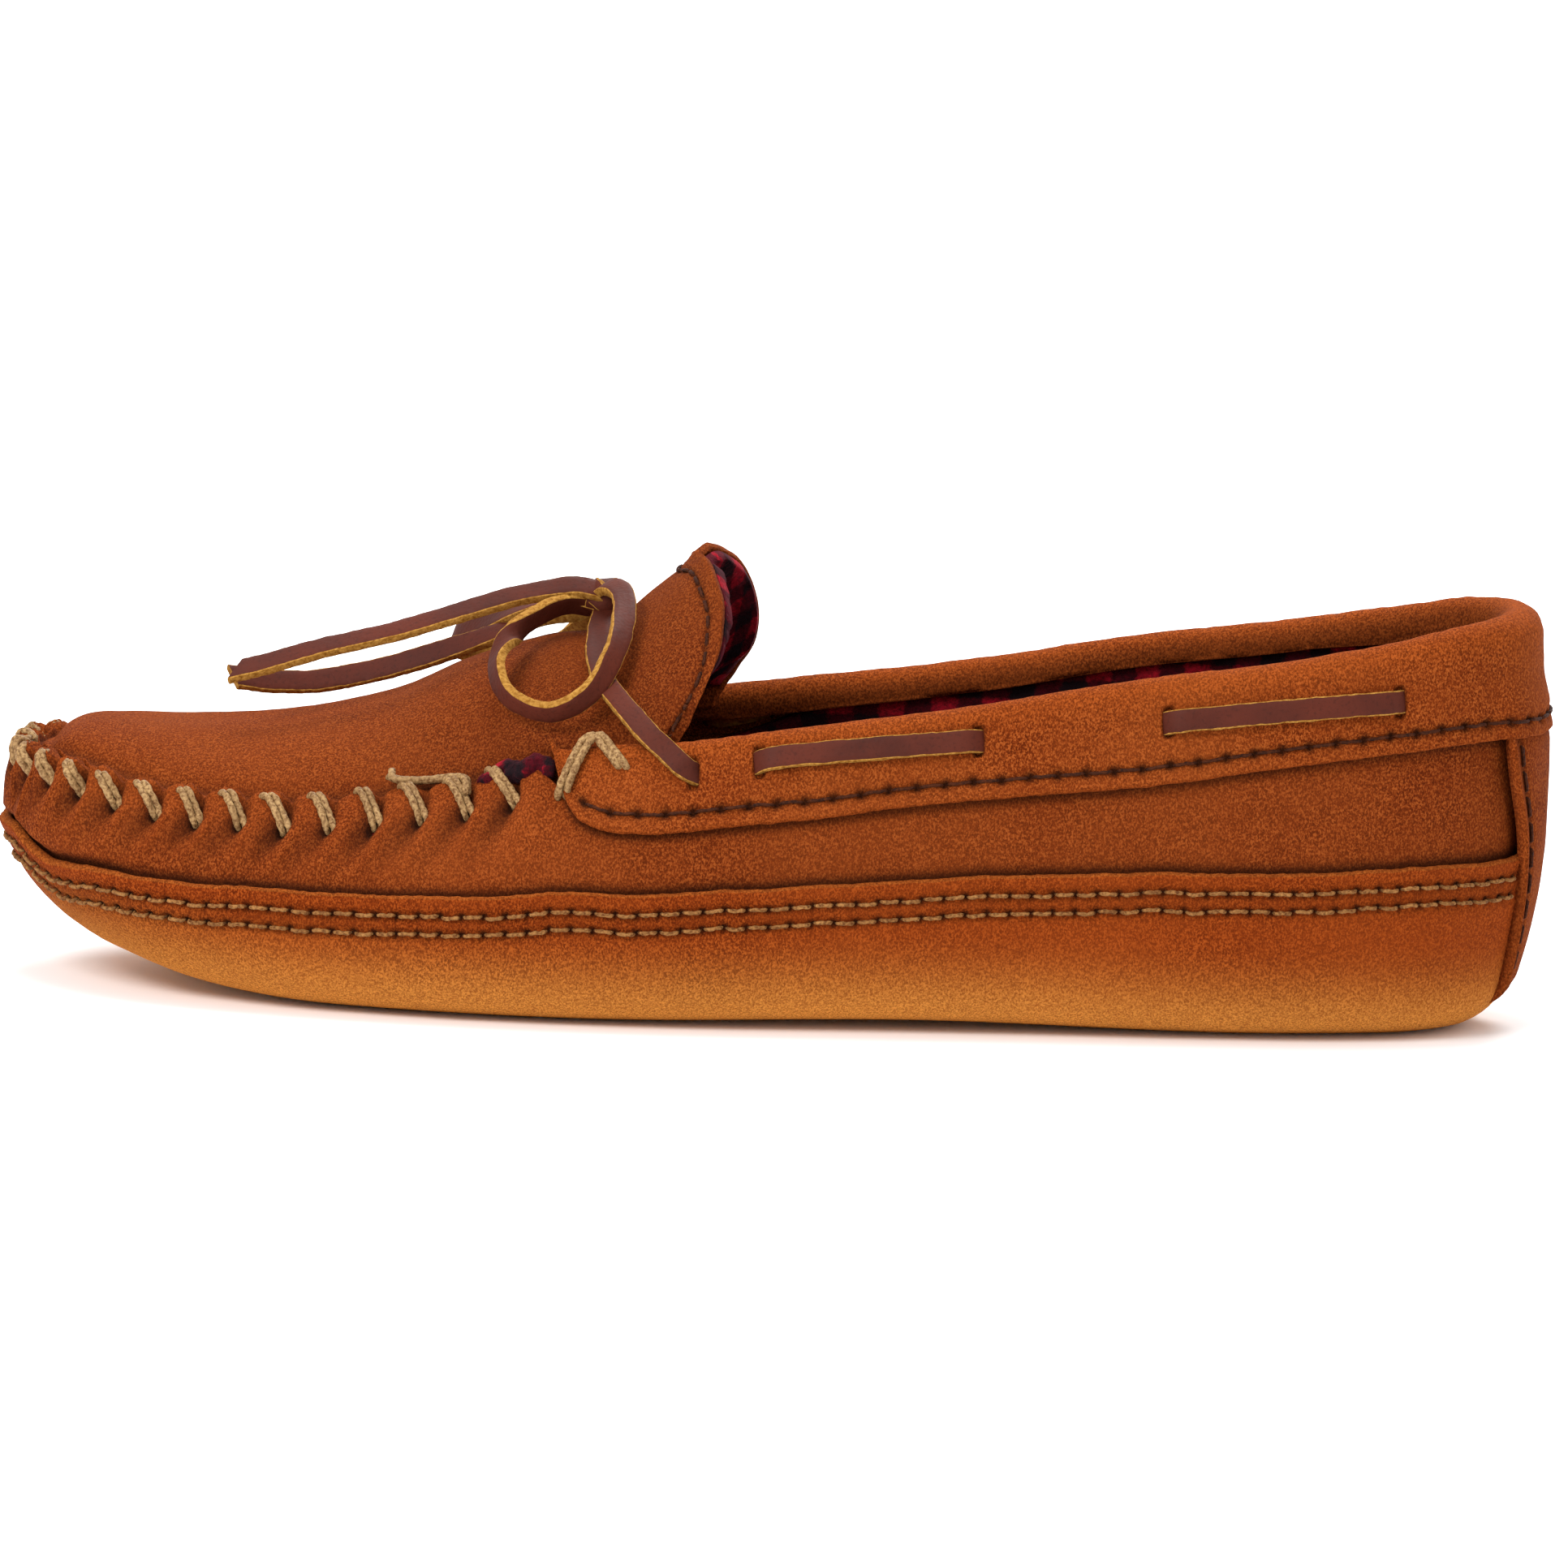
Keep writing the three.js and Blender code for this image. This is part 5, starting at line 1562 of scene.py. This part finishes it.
pad_x = outline(PAD_S)[0]
pad_base = base_height(PAD_S)
insole_bottom = BODY_DEPTH + PAD + GAP + SUEDE + GAP
insole_edge = inset(pad_x, pad_base + insole_bottom - 5, pad_base) + LINING_DEPTH + FLEECE + GAP
insole_grid = pad_grid(insole_edge, insole_bottom, INSOLE - 0.4, 0.3, 44, 0.16)
insole = loft("insole_pad", insole_grid, [PLAID], "shoe", ["insole"], True, {"cloth": insole_grid})

midsole_edge = corner_width(pad_x) + low_inset(pad_x) + 1
midsole_grid = pad_grid(midsole_edge, BODY_DEPTH, PAD, 0.0, 10, 0.0)
midsole = loft("midsole_felt", midsole_grid, [FELT], "shoe", ["midsole_pad"], True)


# ---- knot


KNOT_THICK = 1.4


def knot():
    """The knot: the thong wrapped twice over itself, with a short bar across the front."""
    centre = KNOT_MIDDLE + np.array([0.5, -0.6, 0.7])
    turn = np.linspace(-0.3 * np.pi, 1.8 * np.pi, 70)[:, None]
    wraps = (
        ("bow_knot_wrap", (0.67, 0, 0.74), 3.1, 3.3, 0.0),
        ("bow_knot_loop", (0.95, 0.15, -0.3), 2.2, 2.6, -1.6),
    )
    second = np.array([0, 1.0, 0])
    for name, axis, tall, deep, slide in wraps:
        axis = unit(np.array(axis, float))
        first = unit(np.cross(second, axis))
        out = first * np.cos(turn) * tall + second * np.sin(turn) * deep
        path = centre + axis * slide + out + axis * (turn - 2) * 0.25
        thong(name, path, unit(out), "shoe", "bow_knot", thick=KNOT_THICK)


knot()


# ---- stage and light


FLOOR_HALF = 12.0
FLOOR_BELOW = 0.0004


def stage():
    """A plain pale floor just below the shoe, and a white world."""
    floor = bpy.data.materials.new("floor")
    floor.use_nodes = True
    shader = floor.node_tree.nodes["Principled BSDF"]
    shader.inputs["Base Color"].default_value = (0.93, 0.93, 0.93, 1)
    shader.inputs["Roughness"].default_value = 0.9
    mesh = bpy.data.meshes.new("floor")
    z = float(CAD_BOX[0][2]) - FLOOR_BELOW
    corners = [(x * FLOOR_HALF, y * FLOOR_HALF, z) for x, y in ((-1, -1), (1, -1), (1, 1), (-1, 1))]
    mesh.from_pydata(corners, [], [(0, 1, 2, 3)])
    mesh.materials.append(floor)
    obj = bpy.data.objects.new("floor", mesh)
    bpy.context.collection.objects.link(obj)
    world = bpy.data.worlds.new("studio")
    world.use_nodes = True
    background = world.node_tree.nodes["Background"]
    background.inputs["Color"].default_value = (1, 1, 1, 1)
    background.inputs["Strength"].default_value = 1.0
    bpy.context.scene.world = world


LIGHTS_AIM = Vector((0, 0, 0.04))


def area_light(name, position, size, power):
    """A white disc light that looks at the shoe."""
    data = bpy.data.lights.new(name, "AREA")
    data.shape = "DISK"
    data.size = size
    data.energy = power
    light = bpy.data.objects.new(name, data)
    light.location = position
    light.rotation_mode = "QUATERNION"
    light.rotation_quaternion = (Vector(position) - LIGHTS_AIM).to_track_quat("Z", "Y")
    bpy.context.collection.objects.link(light)


stage()
area_light("key", (-0.6, -0.9, 0.9), 0.6, 12.5)
area_light("back", (0.3, 1.1, 1.0), 0.7, 14.0)
area_light("top", (-0.1, 0.1, 1.4), 0.7, 9.0)
